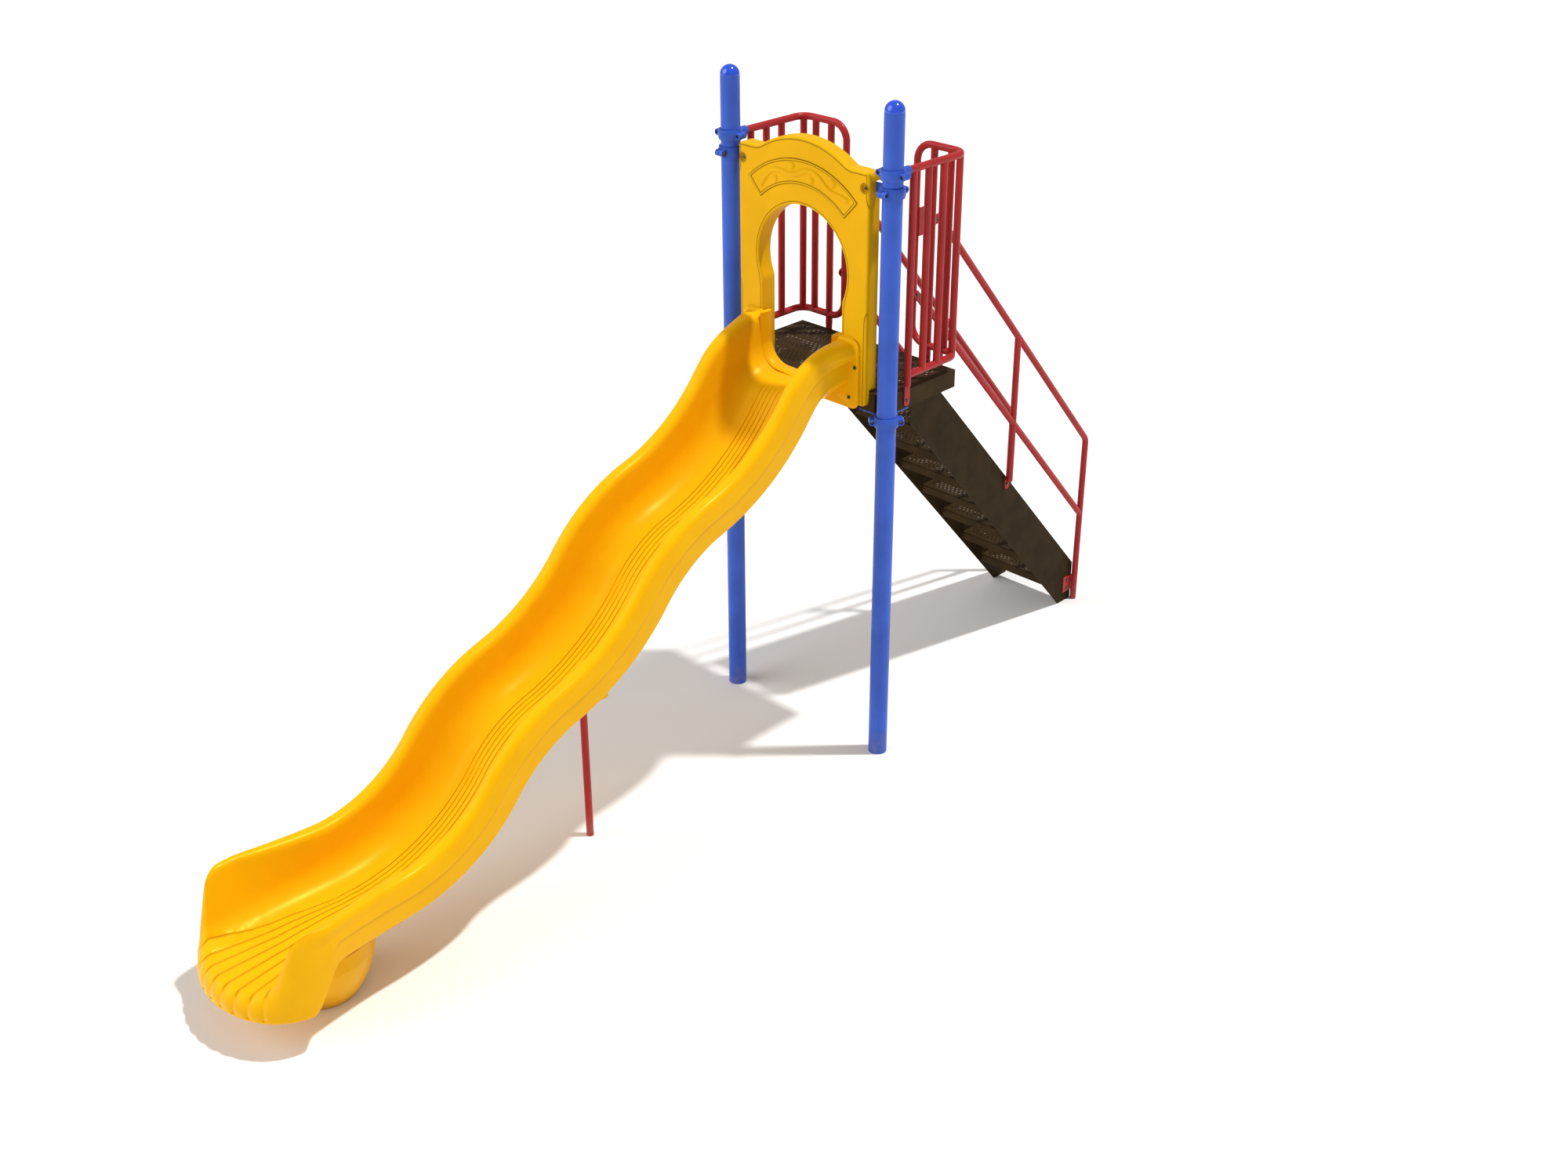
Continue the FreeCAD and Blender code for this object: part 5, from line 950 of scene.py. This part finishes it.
def deck_coating(name, tone, sizes, patches):
    """Thick dipped vinyl over steel, with staggered round holes in the patches given.

    patches are (low X, high X, low Y, high Y). Every second row is shifted by half a pitch. The holes are
    painted near black as painted shade, and some of them pale as painted light of the ground below.
    """
    recipe = Recipe(name)
    pebble = recipe.noise(340.0, 3.0, 0.6)
    base = recipe.clouded(tone, 0.85, 1.2, 9.0)
    worn = recipe.noise(24.0, 5.0, 0.7).step(0.58, 0.75) * recipe.facing_up()
    base = recipe.blend(worn * 0.2, base, shade(tone, 1.7))
    normal = recipe.bump(pebble, 0.35, 0.0008)
    if patches:
        across, deep = recipe.x / sizes.hole_pitch, recipe.y / sizes.row_pitch
        row = deep.floor()
        across = across + row % 2.0 * 0.5
        dx = (across - across.floor() - 0.5) * sizes.hole_pitch
        dy = (deep - row - 0.5) * sizes.row_pitch
        dots = 1 - (dx * dx + dy * dy).root().step(sizes.hole_radius * 0.82, sizes.hole_radius * 1.05)

        def within(value, low, high):
            return value.step(low, low + 0.001) * value.step(high, high - 0.001)

        areas = [within(recipe.x, *patch[:2]) * within(recipe.y, *patch[2:]) for patch in patches]
        area = areas[0]
        for other in areas[1:]:
            area = area.most(other)
        holes = dots * area * recipe.facing_up()
        # The holes are painted near black as painted shade; where seen is high they are painted pale, as
        # painted light of the ground below.
        seen = recipe.noise(7.0, 2.0).step(0.5, 0.56) * 0.5
        base = recipe.blend(holes, base, recipe.blend(seen, (0.002, 0.0015, 0.001), (0.5, 0.46, 0.42)))
        normal = recipe.bump(1 - holes, 1.0, 0.004, normal)
    roughness = 0.46 + pebble * 0.16 + worn * 0.1
    return recipe.surface(base, roughness, normal, 0.045)


def plated_steel(name, tone):
    """Zinc plated fasteners: faintly brushed and dulled in patches."""
    recipe = Recipe(name)
    dull = recipe.noise(90.0, 4.0).step(0.35, 0.7)
    base = recipe.blend(dull, tone, shade(tone, 0.6))
    normal = recipe.bump(recipe.noise(600.0, 2.0, 0.5, (1, 1, 0.2)), 0.2, 0.0003)
    return recipe.surface(base, 0.28 + dull * 0.25, normal, Metallic=0.9)


# ---------------- operators
def settings():
    return bpy.context.scene.play_slide


def dress(names, material):
    """Gives CAD nodes a material."""
    for name in names:
        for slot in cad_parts[name].material_slots:
            slot.material = material


def pair(*names):
    return [name + side for name in names for side in ("_left", "_right")]


DONE = {"FINISHED"}


class SLIDE_OT_stage(Operator):
    """Sets the camera, the lamps, the even studio light and the floor"""
    bl_idname = "play_slide.stage"
    bl_label = "Set the stage"

    def execute(self, context):
        sizes = settings().stage
        lens = bpy.data.cameras.new("view")
        lens.sensor_width = 36
        lens.lens = sizes.lens
        lens.clip_end = 200
        camera = link("view", lens)
        camera.location = sizes.camera_place
        camera.rotation_euler = (math.pi / 2 - sizes.camera_tilt, 0, sizes.camera_turn)
        context.scene.camera = camera

        suns = (("key", sizes.sun_strength, sizes.sun_width, sizes.sun_height, sizes.sun_bearing),
                ("fill", sizes.fill_strength, sizes.fill_width, sizes.fill_height, sizes.fill_bearing))
        for name, strength, width, height, bearing in suns:
            lamp = bpy.data.lights.new(name, "SUN")
            lamp.energy = strength
            lamp.angle = width
            link(name, lamp).rotation_euler = (0, math.pi / 2 - height, bearing)

        world = bpy.data.worlds.new("studio")
        world.use_nodes = True
        nodes, links = world.node_tree.nodes, world.node_tree.links
        nodes.clear()
        kinds = ("LightPath", "MixShader", "OutputWorld")
        rays, mix, end = (nodes.new("ShaderNode" + kind) for kind in kinds)
        for socket, strength in ((1, sizes.sky_strength), (2, 1.0)):
            background = nodes.new("ShaderNodeBackground")
            background.inputs["Color"].default_value = (1, 1, 1, 1)
            background.inputs["Strength"].default_value = strength
            links.new(background.outputs[0], mix.inputs[socket])
        links.new(rays.outputs["Is Camera Ray"], mix.inputs["Fac"])
        links.new(mix.outputs[0], end.inputs["Surface"])
        context.scene.world = world
        context.scene.view_settings.view_transform = "Standard"

        recipe = Recipe("studio_floor")
        tone = settings().finishes.floor
        base = recipe.blend(recipe.noise(30.0), shade(tone, 0.985), tone)
        ray = recipe.node("ShaderNodeLightPath", {}, {}, "Is Camera Ray")
        seen = recipe.blend(ray, (0, 0, 0), (1, 1, 1))
        glow = {"Emission Color": seen, "Emission Strength": sizes.floor_glow}
        recipe.surface(base, 0.9, recipe.bump(recipe.noise(240.0, 2.0), 0.05, 0.0005), 0.0, **glow)
        half = sizes.floor_size / 2
        corners = [(x * half, y * half, -sizes.floor_drop) for x, y in ((-1, -1), (1, -1), (1, 1), (-1, 1))]
        ground = bpy.data.meshes.new("studio_floor")
        ground.from_pydata(corners, [], [(0, 1, 2, 3)])
        ground.materials.append(recipe.material)
        floor = link("studio_floor", ground)
        return DONE


class SLIDE_OT_chute(Operator):
    """Makes the moulded chute and its flange"""
    bl_idname = "play_slide.chute"
    bl_label = "Chute"

    def execute(self, context):
        sizes, tones = settings().chute, settings().finishes
        plastic = chute_plastic("chute_yellow", tones.slide_yellow, tones.slide_amber, sizes)
        right = chute_grid(sizes)
        left = right[:, ::-1] * MIRROR
        whole = np.concatenate([right, left[:, 1:-1]], axis=1)
        chute = build("moulded_chute", [whole], plastic)
        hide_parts("slide_chute")
        build("chute_flange", [flange_grid(sizes)], plastic)
        lugs = [lug_grid(sizes, side) for side in (-1, 1)]
        build("skirt_lugs", lugs, plastic)
        dress(["exit_foot"], plastic)
        return DONE


class SLIDE_OT_panel(Operator):
    """Finishes the entrance panel and adds the relief of its band"""
    bl_idname = "play_slide.panel"
    bl_label = "Entrance panel"

    def execute(self, context):
        values = settings()
        plastic = panel_plastic("panel_yellow", values.finishes.panel_yellow, values.surface, values.banner)
        dress(["entrance_panel"], plastic)
        build("band_relief", banner_grid(values.banner), plastic)
        return DONE


class SLIDE_OT_posts(Operator):
    """Finishes posts, caps and clamps"""
    bl_idname = "play_slide.posts"
    bl_label = "Posts"

    def execute(self, context):
        tones = settings().finishes
        dress(pair("post"), powder_coat("post_blue", tones.post_blue, 0.3))
        clamps = pair("rail_clamp_front", "rail_clamp_back", "panel_clamp_outer", "panel_clamp_inner",
                      "deck_clamp_outer", "deck_clamp_inner")
        dress(clamps, powder_coat("clamp_blue", shade(tones.post_blue, 0.9), 0.24, False))
        dress(pair("post_cap"), cap_gloss("cap_blue", tones.cap_blue))
        return DONE


class SLIDE_OT_rails(Operator):
    """Finishes guard rails, handrails and the middle leg"""
    bl_idname = "play_slide.rails"
    bl_label = "Rails"

    def execute(self, context):
        red = powder_coat("rail_red", settings().finishes.rail_red, 0.28)
        dress(pair("guard_rail", "guard_pickets", "guard_legs", "guard_gusset", "handrail", "mid_rail",
                   "mid_post", "handrail_plate") + ["slide_leg", "slide_saddle"], red)
        return DONE


# The deck's pierced patches across and along, the treads, and a tread's unpierced edges: all round, and
# on the side towards the deck.
PATCHES = (2, 3)
TREADS = 8
TREAD_EDGE, TREAD_BACK = 0.02, 0.03


class SLIDE_OT_deck(Operator):
    """Finishes deck, stringers and treads"""
    bl_idname = "play_slide.deck"
    bl_label = "Deck and stair"

    def execute(self, context):
        values = settings()
        tone, sizes = values.finishes.deck_brown, values.surface
        edge, strip = sizes.plain_edge, sizes.plain_strip
        across, deep = [(deck_high[axis] - deck_low[axis] - 2 * edge - (count - 1) * strip) / count
                        for axis, count in enumerate(PATCHES)]
        patches = []
        for column, row in np.ndindex(*PATCHES):
            x = deck_low[0] + edge + column * (across + strip)
            y = deck_low[1] + edge + row * (deep + strip)
            patches.append((x, x + across, y, y + deep))
        dress(["deck_panel"], deck_coating("deck_coating", tone, sizes, patches))
        # Stringers and stiffeners get a copy of the deck's coating painted darker: painted shade.
        plain = deck_coating("stringer_shaded_coating", shade(tone, 0.78), sizes, [])
        dress(pair("stringer") + ["deck_stiffeners"], plain)
        for number in range(1, TREADS + 1):
            name = "stair_tread_%d" % number
            low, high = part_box(name)
            patch = (low[0] + TREAD_EDGE, high[0] - TREAD_EDGE, low[1] + TREAD_BACK, high[1] - TREAD_EDGE)
            dress([name], deck_coating("tread_coating_%d" % number, tone, sizes, [patch]))
        return DONE


class SLIDE_OT_fasteners(Operator):
    """Finishes bolts and nuts"""
    bl_idname = "play_slide.fasteners"
    bl_label = "Fasteners"

    def execute(self, context):
        steel = plated_steel("bolt_steel", settings().finishes.steel)
        kinds = ("clamp", "panel", "deck", "handrail")
        dress([kind + part for kind in kinds for part in ("_bolts", "_nuts")] + ["support_bolts"], steel)
        return DONE


class SlideSettings(PropertyGroup):
    """All sizes and colours of the slide."""
    chute: PointerProperty(type=ChuteSizes, name="Chute", description="Sizes of the moulded chute")
    banner: PointerProperty(type=BannerSizes, name="Band", description="Sizes of the raised band")
    surface: PointerProperty(type=SurfaceSizes, name="Surface", description="Sizes of lines and holes")
    finishes: PointerProperty(type=Finishes, name="Finishes", description="Colours")
    stage: PointerProperty(type=StageSizes, name="Stage", description="Camera, lamps and floor")


STEPS = (SLIDE_OT_stage, SLIDE_OT_chute, SLIDE_OT_panel, SLIDE_OT_posts, SLIDE_OT_rails, SLIDE_OT_deck,
         SLIDE_OT_fasteners)


class SLIDE_PT_sidebar(Panel):
    """Lists the steps that make the slide"""
    bl_idname = "SLIDE_PT_sidebar"
    bl_label = "Playground slide"
    bl_space_type = "VIEW_3D"
    bl_region_type = "UI"
    bl_category = "Slide"

    def draw(self, context):
        for step in STEPS:
            self.layout.operator(step.bl_idname)


GROUPS = (ChuteSizes, BannerSizes, SurfaceSizes, Finishes, StageSizes, SlideSettings)
CLASSES = (*GROUPS, *STEPS, SLIDE_PT_sidebar)


def register():
    for kind in CLASSES:
        bpy.utils.register_class(kind)
    bpy.types.Scene.play_slide = PointerProperty(type=SlideSettings)


def unregister():
    del bpy.types.Scene.play_slide
    for kind in reversed(CLASSES):
        bpy.utils.unregister_class(kind)


def main():
    register()
    bpy.ops.play_slide.stage()
    bpy.ops.play_slide.chute()
    bpy.ops.play_slide.panel()
    bpy.ops.play_slide.posts()
    bpy.ops.play_slide.rails()
    bpy.ops.play_slide.deck()
    bpy.ops.play_slide.fasteners()


if __name__ == "__main__":
    main()
